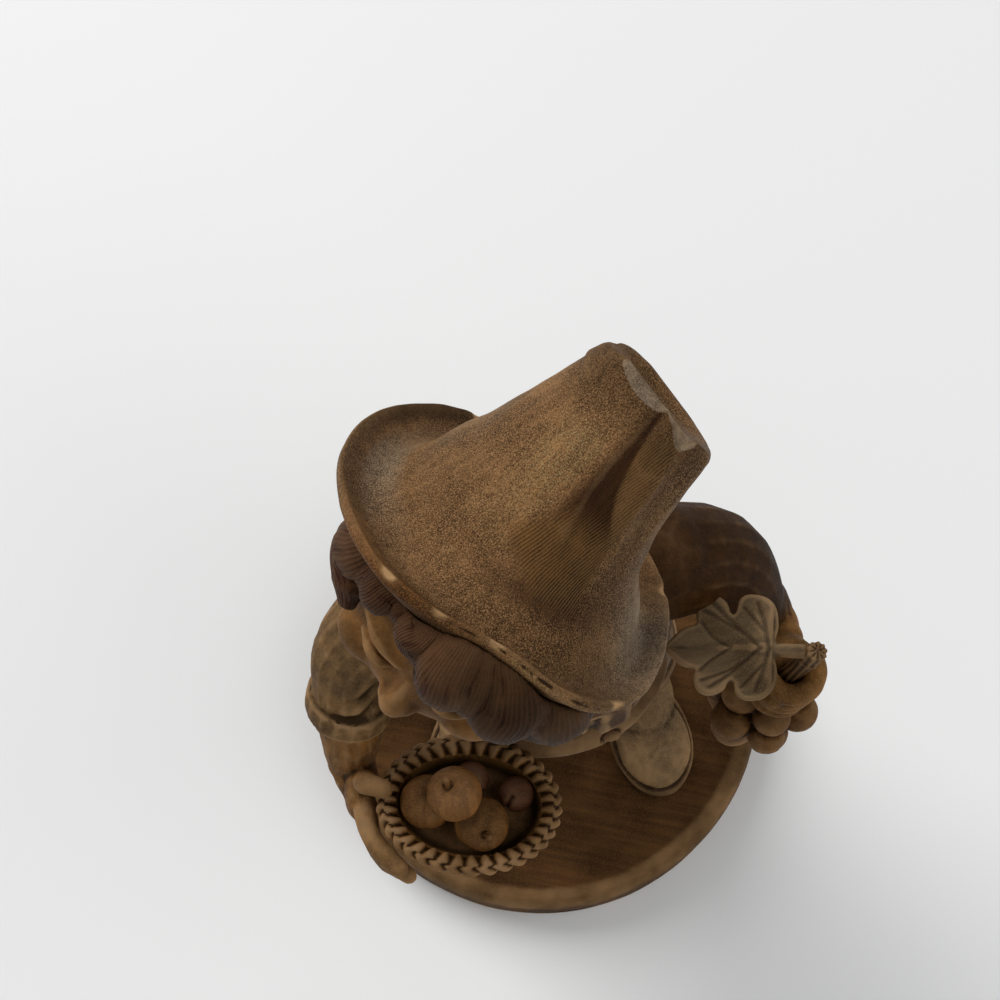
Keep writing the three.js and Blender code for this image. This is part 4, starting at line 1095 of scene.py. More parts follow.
def fist():
    """Fingers and a thumb closed round the stem."""
    curl = STEM_RADIUS + FINGER_RADIUS + 0.5
    fingers = []
    for step in (-1.5, -0.5, 0.5, 1.5):
        points = []
        for degrees in (60, 15, -30, -75, -125, -170):
            turn = math.radians(degrees)
            points.append((curl * math.cos(turn), curl * math.sin(turn), step * 1.8 * FINGER_RADIUS))
        fingers.append(limb(points, [1.5, 1.7, 1.5, 1.65, 1.5, 1.3]))
    palm = ball((0, 3.2, 0), (4, 3, FIST_HALF_HEIGHT))
    thumb = limb([(-3.4, 3, 1), (-4.4, 0, 2), (-2.8, -3.2, 2.6)], [1.85, 1.75, 1.45])
    return [*fingers, palm, thumb]


def left_arm():
    elbow = Vector((26.5, -8.5, 85))
    wrist = FIGURE.inverted() @ GRAPES @ Vector((0.3, 5.4, -0.5))
    middle = elbow.lerp(wrist, 0.5) + Vector((0.8, 0, -0.8))
    clothes, bare = arm((13, -4, 104.25), (21.6, -3.6, 97.4), elbow, middle, wrist, fullness=1.2)
    hand = moved(GRAPES, fist())
    form, is_cloth = arm_piece(clothes, [bare, *hand])
    sleeve_folds(form, is_cloth, [
        [(15, -11, 98), (20, -11.5, 94), (24, -9, 91)],
        [(18, -11.5, 94), (23, -13, 90), (28, -11, 89)],
        [(14, 2.5, 100), (20, 2.5, 96), (26, 0, 95)],
        [(19, 1.5, 93), (25, -1.5, 90), (30, -5, 90)],
    ])
    # The left sleeve's dark colour is painted shade
    finish = {"wear": 0.18, "dusty": 0.06}
    return finish_arm(form, is_cloth, "left_arm_carving", "left_arm", SLEEVE_PAINTED_SHADE, **finish)


# Head and hair, in the head's own place: the face looks along -Y

# Levels of the head, as (x, y, height, half width, front, back)
SKULL = [
    (0, -7, -18, 5.5, 4.6, 5),
    (0, -5, -15.5, 9.2, 8.8, 8),
    (0, -2, -11, 12.8, 12.8, 11.1),
    (0, -0.5, -5, 15, HEAD_FRONT, 14.6),
    (0, 0, 2, HEAD_HALF_WIDTH, 14.8, HEAD_BACK),
    (0, 0, 9, 14.2, 13.6, 14.8),
    (0, 0, 14, 10.8, 10.2, 11.2),
    (0, 0, CROWN_RISE, 3.5, 3.5, 3.5),
]
EYE_SPACING = 5.3
HAIR_LINE = Vector((0, math.sin(math.radians(53)), math.cos(math.radians(53))))


def both_sides(make):
    return [form for side in (-1, 1) for form in make(side)]


def features(side):
    """Cheek, brow, nostril and ear of one side."""
    cheek = ball((side * 7.2, -10.4, -7.6), (4.8, 4.2, 4.4))
    brow = limb(
        [(side * 2.2, -14.6, 3.0), (side * 5.6, -14.0, 4.1), (side * 9.2, -11.6, 3.2)],
        [0.8, 1.0, 0.6],
    )
    nostril = ball((side * 1.5, -15.6, -6.3), (1.25, 1.5, 1.1))
    lobe = ball((side * 15.4, 1.6, -2.2), (1.5, 2.7, 4.0))
    helix = limb(
        [
            (side * 15.2, -0.8, -1.5),
            (side * 16.3, 0.2, 1.8),
            (side * 16.9, 2.8, 2.3),
            (side * 16.8, 4.4, 0),
            (side * 16.0, 3.4, -3.6),
            (side * 15.2, 1.0, -6.0),
        ],
        [0.7, 0.9, 1.0, 1.0, 0.9, 1.0],
    )
    return [cheek, brow, nostril, lobe, helix]


def eye(side):
    """Eyeball with its two lids."""
    globe = ball((side * EYE_SPACING, -12.0, -0.8), (2.9, 2.9, 2.6))
    upper = limb(
        [(side * 2.7, -14.0, -1.3), (side * 5.1, -15.2, 1.05), (side * 8.1, -12.7, -0.9)],
        [0.4, 0.6, 0.45],
    )
    lower = limb(
        [(side * 2.8, -13.9, -1.5), (side * EYE_SPACING, -14.5, -2.7), (side * 7.9, -12.6, -1.2)],
        [0.35, 0.45, 0.35],
    )
    return [globe, upper, lower]


def mouth():
    bow = [(-3.1, -13.7, -10.5), (-1.0, -14.9, -10.0), (0, -14.9, -10.2)]
    bow += [(1.0, -14.9, -10.0), (3.1, -13.7, -10.5)]
    upper = limb(bow, [0.4, 0.75, 0.6, 0.75, 0.4])
    lower = limb([(-2.5, -13.6, -11.3), (0, -14.6, -11.8), (2.5, -13.6, -11.3)], [0.5, 0.95, 0.5])
    return [upper, lower]


def neck():
    foot = HEAD.inverted() @ FIGURE @ Vector((*NECK_PLACE, NECK_HEIGHT - 2))
    return limb([foot, (0, 3, -12), (0, 2, -4)], [7, 6.6, 7])


def hair_cap():
    cap = stack([(x, y, z, *(size + HAIR_DEPTH for size in sizes)) for x, y, z, *sizes in SKULL], sides=24)
    return saw_off(cap, -HAIR_LINE, -HAIR_LINE)


def head():
    nose = limb([(0, -14.6, 0.2), (0, -15.7, -3.2), (0, -16.4, -5.4)], [1.0, 1.35, 1.95])
    chin = ball((0, -10.4, -15.4), (3.6, 3.4, 2.9))
    base, _ = fuse([stack(SKULL, sides=24), nose, chin, *both_sides(features)], voxel=0.4, rounds=9)
    points = points_of(base)
    sink = np.zeros(len(points))
    facing = points[:, 1] < -8
    for side in (-1, 1):
        away = ((points[:, 0] - side * EYE_SPACING) / 3.6) ** 2 + ((points[:, 2] + 0.6) / 2.6) ** 2
        sink += 1.5 * np.exp(-away) * facing
    raise_skin(base, -sink)
    skin = [base, *both_sides(eye), *mouth(), neck()]
    whole, owners = fuse([*skin, hair_cap()], voxel=0.3)
    points = points_of(whole)
    flat = points[:, [0, 2]]
    facing = ease(-(points[:, 1] + 9) / 2)
    lips = [(-3.2, -10.6), (-1.2, -10.85), (0, -10.75), (1.2, -10.85), (3.2, -10.6)]
    cut = 0.35 * groove(flat, lips, 0.4)
    for side in (-1, 1):
        away = np.hypot(points[:, 0] - side * 5.2, points[:, 2] + 0.7)
        cut += 0.1 * hump(away - 1.3, 0.25) + 0.4 * hump(away, 0.55)
    raise_skin(whole, -cut * facing)
    is_hair = (owners == len(skin)).astype(int)
    note_hollows(whole, share=0.55 + 0.45 * is_hair)
    note_stain(whole, is_hair, [SKIN_STAIN, HAIR_STAIN])
    saw_off(whole, HAT_AXIS * (HAT_SEAT + HAT_FOOT - HAT_CLEARANCE), HAT_AXIS)
    wood = carved_wood("head_wood", wear=0.45, dusty=0.1, figure=0.5, speckle=0.25)
    return settle(whole, "head_carving", ["head"], wood, HEAD)


def on_hair(turn, lift_angle, lift):
    """A point on the hair: turned round from the face, raised from the middle, lifted off the scalp."""
    reach = (HEAD_FRONT if math.cos(turn) > 0 else HEAD_BACK) + lift
    return Vector((
        (HEAD_HALF_WIDTH + lift) * math.sin(turn) * math.cos(lift_angle),
        -reach * math.cos(turn) * math.cos(lift_angle),
        (CROWN_RISE + lift) * math.sin(lift_angle),
    ))


def brim_line(turn):
    """How far up the head the brim's underside crosses it, for one direction round the head."""
    side = on_hair(turn, 0, 0).dot(HAT_AXIS)
    top = on_hair(turn, math.pi / 2, 0).dot(HAT_AXIS)
    return math.atan2(top, side) - math.acos((HAT_SEAT + HAT_FOOT) / math.hypot(top, side))


SECTION_POINTS = 64
STRAND_PITCH = 0.36
PARTING = math.radians(-22)
FRINGE = math.radians(35)


def strand_section():
    """The cut across a lock: a round with shallow waves."""
    points = []
    for turn in np.linspace(0, 2 * math.pi, SECTION_POINTS, endpoint=False):
        reach = 1 + 0.018 * math.cos(9 * turn) + 0.012 * math.cos(16 * turn)
        points.append((reach * math.cos(turn), reach * math.sin(turn)))
    return cross_section(points)


def scalp_reach(points):
    """1 on the scalp, more outside it."""
    return np.linalg.norm(points / (HEAD_HALF_WIDTH, HEAD_BACK, CROWN_RISE), axis=1)


def lock(section, points, radii):
    """One broad lobe of hair, pressed flat to the scalp, with a stroke across it for its strands."""
    form = swept(section, line(points, radii), finer=10)
    skin = points_of(form)
    reach = scalp_reach(skin)
    rings = len(skin) // SECTION_POINTS
    means = skin[:rings * SECTION_POINTS].reshape(rings, SECTION_POINTS, 3).mean(1)
    middle = np.repeat(means, SECTION_POINTS, axis=0)
    middle = np.vstack([middle, np.tile(middle[-1], (len(skin) - len(middle), 1))])
    level = scalp_reach(middle)
    turn = np.arctan2(skin[:, 0], -skin[:, 1]) - np.arctan2(middle[:, 0], -middle[:, 1])
    turn = angle_from(turn, 0)
    wide = np.linalg.norm(skin - middle, axis=1)
    put_points(form, skin * ((level + 0.62 * (reach - level)) / reach)[:, None])
    note(form, "stroke", turn * HEAD_HALF_WIDTH * LOCK_RADIUS / np.maximum(wide, 0.25 * LOCK_RADIUS))
    return form


def tuck_under_brim(points):
    """Presses the hair down to the brim's underside, which rises outwards most on the near side."""
    turn = np.array(HAT_TURN.to_3x3())
    in_hat = points @ turn - (0, 0, HAT_SEAT)
    around, out = around_and_out(in_hat)
    near = towards(around, BRIM_PRESSED, BRIM_PRESS_WIDTH)
    underside = HAT_FOOT - HAT_CLEARANCE + (0.3 + 1.6 * near**2) * np.clip(out - 17.7, 0, 3)
    above = np.maximum(in_hat[:, 2] - underside, 0)
    return points - above[:, None] * np.array(HAT_AXIS)


def hair():
    section = strand_section()
    locks = []
    for index in range(2 * LOCK_COUNT):
        outer = index % 2 == 0
        turn = 2 * math.pi * (0.5 * index + 0.5) / LOCK_COUNT
        swing = LOCK_SWEEP if (index // 2) % 2 else -LOCK_SWEEP / 2
        lean = math.radians(swing if outer else -0.6 * swing)
        length = LOCK_LENGTH * (1 - 0.35 * max(math.cos(turn), 0)) / CROWN_RISE
        length *= 1.05 if outer else 0.86
        parted = hump(math.remainder(turn - PARTING, 2 * math.pi), 0.5)
        length *= 1 - 0.7 * parted
        lift = 1.2 if outer else 0.2
        fringe = 1.6 * max(math.cos(turn - FRINGE), 0) ** 2
        start = brim_line(turn)
        points = [
            on_hair(turn - 0.1 * lean, start + 0.2, 0.2 + fringe),
            on_hair(turn + 0.25 * lean, start - 0.2 * length, lift + 0.5 + 1.3 * fringe),
            on_hair(turn + 0.1 * lean, start - 0.55 * length, lift + 0.6 + fringe),
            on_hair(turn + 0.9 * lean, start - 0.85 * length, lift - 0.1 + 0.4 * fringe),
            on_hair(turn + 1.5 * lean, start - 1.05 * length, lift + 0.2),
        ]
        size = LOCK_RADIUS * (1.25 if outer else 1.15) * (1 - 0.4 * parted)
        radii = [0.9 * size, 1.1 * size, 1.12 * size, 0.95 * size, 0.45 * size]
        locks.append(lock(section, points, radii))
    bpy.data.objects.remove(section)
    whole = merge(locks)
    edit(whole)
    bpy.ops.mesh.remove_doubles(threshold=0.0005)
    bpy.ops.mesh.normals_make_consistent(inside=False)
    close_edit()
    points = tuck_under_brim(points_of(whole))
    put_points(whole, points)
    note_hollows(whole, more=0.8 * ease((1.1 - scalp_reach(points)) / 0.1))
    # Painted shade: the hair's stain and strand lines darken towards the figure's left, the side away from
    # the light
    shade = 1 - 0.45 * ease((points[:, 0] + 1) / 10)
    note(whole, "planed", shade)
    note(whole, "stain", shade[:, None] * np.array(HAIR_STAIN))
    wood = stroked_wood("hair_wood", STRAND_PITCH, HAIR_LIGHT, wear=0.12, dusty=0, speckle=0.7)
    return settle(whole, "hair", ["head"], wood, HEAD)


# Hat, in its own place: the crown stands along +Z, and degrees count round it from its right, +X

# Half outlines, as (radius, height)
BRIM_LINE = [
    (0, HAT_FOOT), (9, HAT_FOOT), (15, HAT_FOOT), (18.2, -1.7), (20.8, -1.0), (22.2, -0.1), (22.9, 0.5),
    (23.15, 1.0), (23.25, 1.6), (23.22, 2.05), (23.05, 2.22), (22.75, 2.15), (21.8, 1.7), (20.6, 1.2),
    (19.4, 1.0), (18.4, 1.25),
]
CROWN_LINE = [
    (17.3, 2.1), (15.9, 4.3), (14.3, 7.2), (12.7, 11.0),
    (11.2, 16.0), (10.0, 21.5), (9.3, 25.5), (8.9, 27.8),
]
END_LINE = [(8.5, 28.9), (7.9, 29.4), (7.3, 29.35), (6.2, 28.9), (4.2, 28.3), (2.0, 28.05), (0, 28.0)]
# Gouge cuts, as (direction in degrees, depth at the top)
GOUGES = ((-63, 1.1), (-30, 0.9), (80, 0.2), (162, 0.9))
# The ridge up the crown, as (height, direction in degrees)
RIDGE_LINE = ((8, -40), (12.5, -41), (17, -52), (21, -64), (26, -73), (31.5, -81))
# Painted shade beside the ridge and low on the crown's near side
RIDGE_PAINTED_SHADE = (0.030, 0.011, 0.004)
PLANED_STAIN = (0.105, 0.046, 0.011)
LIP_STAIN = (0.085, 0.031, 0.006)
# Pale dust on the pared rim, and a painted sheen for the streak on the brim's right
PALE_DUST_AND_SHEEN = (0.330, 0.275, 0.215)
STROKE_LIGHT = (0.250, 0.160, 0.070)
# Knife cuts on the rim of the end, as (direction, half width in degrees, depth)
RIM_CUTS = ((-108, 33, 1.6), (-55, 24, 2.2))
LIP_CHIPS = (-114, -96, -77, -30, 40, 128)
# Where the lip is on the brim's outline, as (radius, height)
LIP_PLACE = (23.15, 2.1)
STROKE_PLACE = -73
STROKE_TURN = math.radians(14)
STROKE_PITCH = 0.37
END_SIDE_SLOPE = 0.19
CROWN_BEND = 0.09


def crown_radius(height):
    radii, heights = zip(*CROWN_LINE, (HAT_TOP_RADIUS, HAT_CROWN_HEIGHT))
    return np.interp(height, heights, radii)


def slant_end(points):
    """Leans the crown's end down towards the back and the right, and keeps the crown's taper."""
    upper = ease((points[:, 2] - 12) / 16)
    drop = math.tan(math.radians(HAT_END_SLANT)) * points[:, 1] + END_SIDE_SLOPE * points[:, 0]
    height = points[:, 2] - upper * drop
    taper = 1 + upper * (crown_radius(height) / crown_radius(points[:, 2]) - 1)
    return np.stack([points[:, 0] * taper, points[:, 1] * taper, height], 1)


def bend_crown(points):
    """Sets the foot of the crown a little left and its end a little right."""
    points[:, 0] += CROWN_BEND * (points[:, 2] - 21) * ease((points[:, 2] - 3) / 8)
    return points


def cut_gouges(points):
    """Long scoops up the crown, deepest at the top, drawn as the inside of a round gouge."""
    around, out = around_and_out(points)
    height = points[:, 2]
    for degrees, deepest in GOUGES:
        angle = angle_from(around, degrees)
        middle = crown_radius(height) + GOUGE_RADIUS - deepest * ease((height - 5) / 22)
        room = np.maximum(GOUGE_RADIUS**2 - (middle * np.sin(angle)) ** 2, 0)
        limit = middle * np.cos(angle) - np.sqrt(room)
        cut = np.where((np.abs(angle) < 1) & (room > 0), np.maximum(out - limit, 0), 0)
        out = out - cut * ease((height - 4) / 9)
    return np.stack([out * np.cos(around), out * np.sin(around), height], 1)


def rim_cuts(around):
    """How deep the rim of the crown's end is pared, for each direction."""
    depth = np.zeros(len(around))
    for degrees, half_width, deepest in RIM_CUTS:
        share = angle_from(around, degrees) / math.radians(half_width)
        depth = np.maximum(depth, deepest * (1 - share**2))
    return depth


def pare_rim(points):
    """Knife cuts along the rim of the crown's end, which rises at the back and swells on the left."""
    around, out = around_and_out(points)
    rim = ease((out - 6.0) / 1.6) * ease((points[:, 2] - 24) / 4)
    far, left = towards(around, 100, 0.8), towards(around, 185, 0.6)
    points[:, 2] += rim * (0.8 * far - 0.6 * left - rim_cuts(around))
    swelling = towards(around, 190, 0.6) * ease((points[:, 2] - 27.2) / 0.9)
    points[:, :2] *= (1 + 0.05 * swelling)[:, None]
    return points


def press_brim(points):
    """Narrows the brim and turns it up on the near side and the right, and widens it on the left."""
    around, out = around_and_out(points)
    edge = ease((out - 16.5) / 6.5) * (points[:, 2] < 4)
    near = towards(around, BRIM_PRESSED, BRIM_PRESS_WIDTH)
    right, left = towards(around, 12, 0.5), towards(around, 205, 0.5)
    grow = 0.5 * left - 2.7 * near - 2.4 * right
    points[:, :2] *= (1 + edge * grow / np.maximum(out, 1))[:, None]
    points[:, 2] += edge * (1.8 * near + 0.9 * right)
    return points


def beside_ridge(around, height):
    """Signed angle of each point from the ridge up the crown's near side."""
    heights, degrees = zip(*RIDGE_LINE)
    return around - np.radians(np.interp(height, heights, degrees))


def planed_part(around, height):
    """1 on the planed part of the crown's near side, left of the ridge and on the flat right of it."""
    from_left = around - np.radians(np.interp(height, [7.5, 11.5, 18, 26], [-80, -104, -89, -84]))
    from_right = math.radians(-44) - around
    ends = ease((height - 5.5) / 3) * ease((30 - height) / 3)
    return ease(from_left / 0.25) * ease(from_right / 0.06) * ends


def stain_hat(form, planed, is_end):
    """Stain under painted light: painted shade on the brim, its far edge, where the crown turns away,
    beside the ridge and low on the near side, a painted light patch and a painted sheen on the right;
    darker on the planed part and greyer where dust has stayed.
    """
    points = points_of(form)
    around, out = around_and_out(points)
    height = points[:, 2]
    beside = beside_ridge(around, height)
    ridge = ease((around - math.radians(-96)) / 0.28) * ease(0.5 - 20 * beside) * ease((height - 14) / 5)
    foot = hump(height - 7, 1.9) * towards(around, -64, 0.62)
    brim = ease((out - 15) / 4)
    pared = ease(2 * rim_cuts(around)) * ease((out - 5.5) / 1.5) * is_end
    lip = ease((out - 22.3) / 0.6) * ease((2.2 - height) / 0.8)
    # Painted shade on the brim and its far edge, on the crown where it turns away and on the flat right of
    # the ridge; the crown's end is darker, the pared rim and the lip lighter, and a painted light patch
    # lies high on the near side
    shade = 1 - brim * (0.24 + 0.2 * towards(around, -90, 1.0))
    shade *= 1 - 0.45 * brim * towards(around, -30, 0.3)
    shade *= 1 - 0.65 * ease((out - 20.5) / 1.5) * towards(around, 150, 0.6)
    shade *= (1 - 0.4 * ease((height - 23) / 8)) * (1 + 0.6 * pared) * (1 + 0.9 * lip)
    shade *= 1 - (1 - brim) * (0.2 * towards(around, -142, 0.4) + 0.35 * towards(around, -30, 0.35))
    shade *= 1 + 0.28 * towards(around, -110, 0.35) * hump(height - 21.5, 5)
    # Greyer and lighter on the right: dust, and a painted sheen where the brim and the crown's right edge
    # catch light
    right = towards(around, 6, 0.42) * (0.3 + 0.55 * ease((9 - height) / 6))
    left = 0.5 * towards(around, -170, 0.5) * ease((out - 16) / 1.5) * ease((21 - out) / 1.5)
    # A painted sheen: a pale streak across the brim on its turned-up right side
    painted_sheen_streak = 0.85 * towards(around, 8, 0.22) * ease((out - 14.5) / 2) * ease((21.5 - out) / 2)
    layers = (
        (planed * (0.45 + 0.45 * ease(0.5 - 12 * beside)), PLANED_STAIN),
        # Painted shade beside the ridge and low on the crown's near side
        (np.maximum(0.95 * ridge * (1 - is_end), 0.75 * foot), RIDGE_PAINTED_SHADE),
        (np.maximum(np.maximum(right, left), 0.7 * pared), DUST),
        (np.maximum(painted_sheen_streak, 0.3 * pared), PALE_DUST_AND_SHEEN),
        (0.9 * ease((out - 22.0) / 0.6) * towards(around, -112, 0.5), LIP_STAIN),
    )
    stain = shade[:, None] * np.array(HAT_STAIN)
    for share, other in layers:
        stain += share[:, None] * (np.array(other) - stain)
    note(form, "stain", stain)
    note(form, "planed", planed * (1 - 0.75 * ridge))
    note(form, "smooth", np.maximum(0.5 * pared, 0.6 * planed))


def chip_lip(form):
    """Cuts pale chips and dark nicks along the brim's lip, and gives how much darker each point is."""
    points = points_of(form)
    around, out = around_and_out(points)
    gap = np.hypot(out - LIP_PLACE[0], points[:, 2] - LIP_PLACE[1])
    lip = hump(gap, 0.9)
    chips = np.zeros(len(points))
    for degrees in LIP_CHIPS:
        along = angle_from(around, degrees) * LIP_PLACE[0]
        chips = np.maximum(chips, lip * hump(along, 0.9))
    broken = ease(0.5 + np.sin(37 * around) + 0.8 * np.sin(23 * around) + 0.5 * np.sin(101 * around))
    below = hump(np.hypot(out - LIP_PLACE[0], points[:, 2] - LIP_PLACE[1] + 0.6), 0.28)
    nicks = below * broken * towards(around, -58, 0.7)
    raise_skin(form, -0.3 * chips - 0.12 * nicks)
    note(form, "rubbed", 4 * chips**2 + 0.15 * lip)
    return 1.2 * nicks - 2 * chips


def hat():
    form = spun(BRIM_LINE + CROWN_LINE + END_LINE, steps=240, finer=8)
    start = points_of(form)
    is_end = (np.hypot(start[:, 0], start[:, 1]) < END_LINE[0][0]) * (start[:, 2] > 0)
    put_points(form, pare_rim(cut_gouges(slant_end(start))))
    tool_marks(form, size=6, depth=0.4, pattern="CLOUDS")
    work(form, "SMOOTH", factor=0.5, iterations=2)
    darker = chip_lip(form)
    points = points_of(form)
    around, out = around_and_out(points)
    planed = planed_part(around, points[:, 2]) * (1 - is_end)
    across = angle_from(around, STROKE_PLACE) * out
    note(form, "stroke", across * math.cos(STROKE_TURN) - points[:, 2] * math.sin(STROKE_TURN))
    stain_hat(form, planed, is_end)
    put_points(form, press_brim(bend_crown(points)))
    note_hollows(form, more=darker, share=0.5)
    finish = {"grain": HAT.inverted(), "wear": 0.14, "dusty": 0.05, "speckle": 1.2}
    wood = stroked_wood("hat_wood", STROKE_PITCH, STROKE_LIGHT, clear=0.5, **finish)
    return settle(form, "hat_carving", ["hat"], wood, HAT)


# Basket and fruit, in the basket's own place

STAVE_COUNT = 30
WEAVE_ROW = 1.75


def basket():
    long, deep = BASKET_HALF_LENGTH, BASKET_HALF_DEPTH

    def level(share, z, grow=0.0):
        return (0, 0, z, long * share + grow, deep * share + grow, deep * share + grow)

    levels = [
        level(0.80, 0), level(0.84, 0.3), level(0.93, 4), level(0.98, 8), level(1, 10.6),
        level(1, 11.2, 0.8), level(1, 12.2, BASKET_RIM), level(1, 13.1, 0.5), level(1, 13.2, -0.6),
        level(1, 12.2, -1.5), level(0.98, 10, -1.7), level(0.95, 7.8, -1.8),
        level(0.92, BASKET_FLOOR, -2.2),
    ]
    form = even_skin(stack(levels, sides=32), voxel=0.28, rounds=2)
    points, normals = points_of(form), normals_of(form)
    around = np.arctan2(points[:, 1] / deep, points[:, 0] / long)
    height = points[:, 2]
    outer = ease((points[:, 0] * normals[:, 0] + points[:, 1] * normals[:, 1]) / 3)
    row = (height - 0.6) / WEAVE_ROW
    strand = np.abs(np.cos(np.pi * row))
    over = np.cos(0.5 * STAVE_COUNT * around + np.pi * np.floor(row + 0.5))
    wall = outer * ease((height - 0.3) / 0.6) * ease((10.8 - height) / 0.5)
    weave = 0.5 * strand**0.6 * (0.45 + 0.55 * over) - 0.25
    rim = ease((height - 10.9) / 0.4)
    twist = 0.28 * np.cos(34 * around + 2.2 * (height - BASKET_HEIGHT) * outer)
    raise_skin(form, 0.9 * wall * weave + rim * twist)
    plain_finish(form, BASKET_STAIN)
    wood = carved_wood("basket_wood", wear=0.5, dusty=0.3)
    return settle(form, "basket_carving", ["basket"], wood, BASKET)


def apple(name, place, lean, turn):
    outline = []
    for degrees in range(-90, 91, 12):
        angle = math.radians(degrees)
        out = max(math.cos(angle), 0)
        dimple = math.copysign(0.36 * (1 - out) ** 3, degrees)
        outline.append((APPLE_RADIUS * out, APPLE_RADIUS * (math.sin(angle) - dimple)))
    body = spun(outline, steps=72, finer=4)
    stalk = limb([(0, 0, 2.2), (0.1, 0.1, 3.2), (0.5, 0.2, 4.3)], [0.35, 0.35, 0.5])
    form, _ = fuse([body, stalk], voxel=0.2, rounds=2)
    tool_marks(form, size=3, depth=0.15)
    plain_finish(form, APPLE_STAIN)
    wood = carved_wood(name + "_wood", turned("X", 40), wear=0.2, dusty=0.2)
    leaned = BASKET @ Matrix.Translation(place) @ turned("Z", turn) @ turned("X", lean)
    return settle(form, name + "_carving", [name], wood, leaned)


def plum(name, place, turn):
    form = even_skin(ball((0, 0, 0), [PLUM_RADIUS] * 3), voxel=0.2, rounds=3)
    points = points_of(form)
    arc = [(0, -PLUM_RADIUS * math.cos(t), PLUM_RADIUS * math.sin(t)) for t in np.linspace(-1.2, 1.6, 7)]
    raise_skin(form, -0.35 * groove(points, arc, 0.4))
    plain_finish(form, PLUM_STAIN)
    wood = carved_wood(name + "_wood", turned("Y", 60), wear=0.15, dusty=0.2)
    laid = BASKET @ Matrix.Translation(place) @ turned("Z", turn) @ turned("X", 25)
    return settle(form, name + "_carving", [name], wood, laid)


def fruit():
    seat = BASKET_FLOOR + 0.3
    low, high = seat + APPLE_RADIUS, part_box("apple_top")
    top_height = (high[0].z + high[1].z) / 2 / MM - PLINTH_HEIGHT - BASKET_PLACE[2]
    apple("apple_left", (-6, 0, low), lean=25, turn=150)
    apple("apple_right", (2, -2.6, low), lean=40, turn=20)
    apple("apple_top", (-2, 0.5, top_height), lean=-20, turn=60)
    plum("plum_back", (0, 3.9, seat + PLUM_RADIUS), turn=40)
    plum("plum_side", (6.6, 2.2, seat + PLUM_RADIUS), turn=-30)


# Grapes, stem and leaf, in the bunch's own place: it hangs along -Z


def bunch_radius(share):
    return BUNCH_RADIUS * (1 - share) ** 0.7 * min(1, 0.55 + 2 * share)


def grapes():
    layers = round(BUNCH_LENGTH / (1.55 * GRAPE_RADIUS))
    balls = []
    for layer in range(layers + 1):
        radius = bunch_radius(layer / layers)
        count = max(1, round(2 * math.pi * radius / (1.95 * GRAPE_RADIUS)))
        height = BUNCH_TOP - BUNCH_LENGTH * layer / layers
        for index in range(count):
            turn = 2 * math.pi * (index + 0.5 * layer) / count
            sway = math.sin(3.7 * index + 2.3 * layer)
            size = GRAPE_RADIUS * (1 + 0.05 * sway)
            place = (radius * math.cos(turn), radius * math.sin(turn), height + 0.5 * sway)
            balls.append(ball(place, (size, size, 1.06 * size)))
    shares = (0.05, 0.35, 0.65, 0.9)
    spine = [(0, 0, BUNCH_TOP - share * BUNCH_LENGTH) for share in shares]
    core = limb(spine, [bunch_radius(share) - 0.6 for share in shares])
    form, _ = fuse([*balls, core], voxel=0.3, rounds=2)
    tool_marks(form, size=2.6, depth=0.16)
    plain_finish(form, GRAPE_STAIN)
    wood = carved_wood("grape_wood", wear=0.45, dusty=0.1)
    return settle(form, "grape_bunch_carving", ["grape_bunch"], wood, GRAPES)


def vine_stem():
    foot = BUNCH_TOP - 6
    heights = np.linspace(foot, STEM_TOP, 8)
    points = [(0.12 * math.sin(1.7 * z), 0.12 * math.cos(1.3 * z), z) for z in heights]
    rod = tube(points, [1.1, 1.3, 1.25, 1.3, 1.3, 1.25, 1.3, 1.38])
    knot = ball((0, 0, 13.4), (1.6, 1.6, 1.3))
    form, _ = fuse([rod, knot], voxel=0.2, rounds=2)
    points = points_of(form)
    around = np.arctan2(points[:, 1], points[:, 0])
    raise_skin(form, 0.1 * np.cos(9 * around + 0.4 * points[:, 2]))
    plain_finish(form, STEM_STAIN)
    wood = carved_wood("stem_wood", wear=0.5, dusty=0.25)
    return settle(form, "vine_stem_carving", ["vine_stem"], wood, GRAPES)


# One half of the leaf, as shares of (length, half width)
LEAF_EDGE = [
    (0, 0), (-0.04, 0.5), (0.02, 0.86), (0.16, 1.0), (0.3, 0.94), (0.38, 0.62), (0.46, 0.84), (0.58, 0.95),
    (0.68, 0.86), (0.72, 0.6), (0.71, 0.46), (0.84, 0.34), (0.94, 0.18), (1.0, 0),
]
LEAF_VEINS = [
    [(0.03, 0.02), (0.08, 0.42), (0.15, 0.86)],
    [(0.12, 0.02), (0.34, 0.42), (0.58, 0.82)],
    [(0.4, 0.02), (0.56, 0.22), (0.68, 0.48)],
    [(0.06, 0.3), (0.16, 0.5), (0.28, 0.78)],
    [(0.24, 0.24), (0.42, 0.46), (0.66, 0.68)],
]


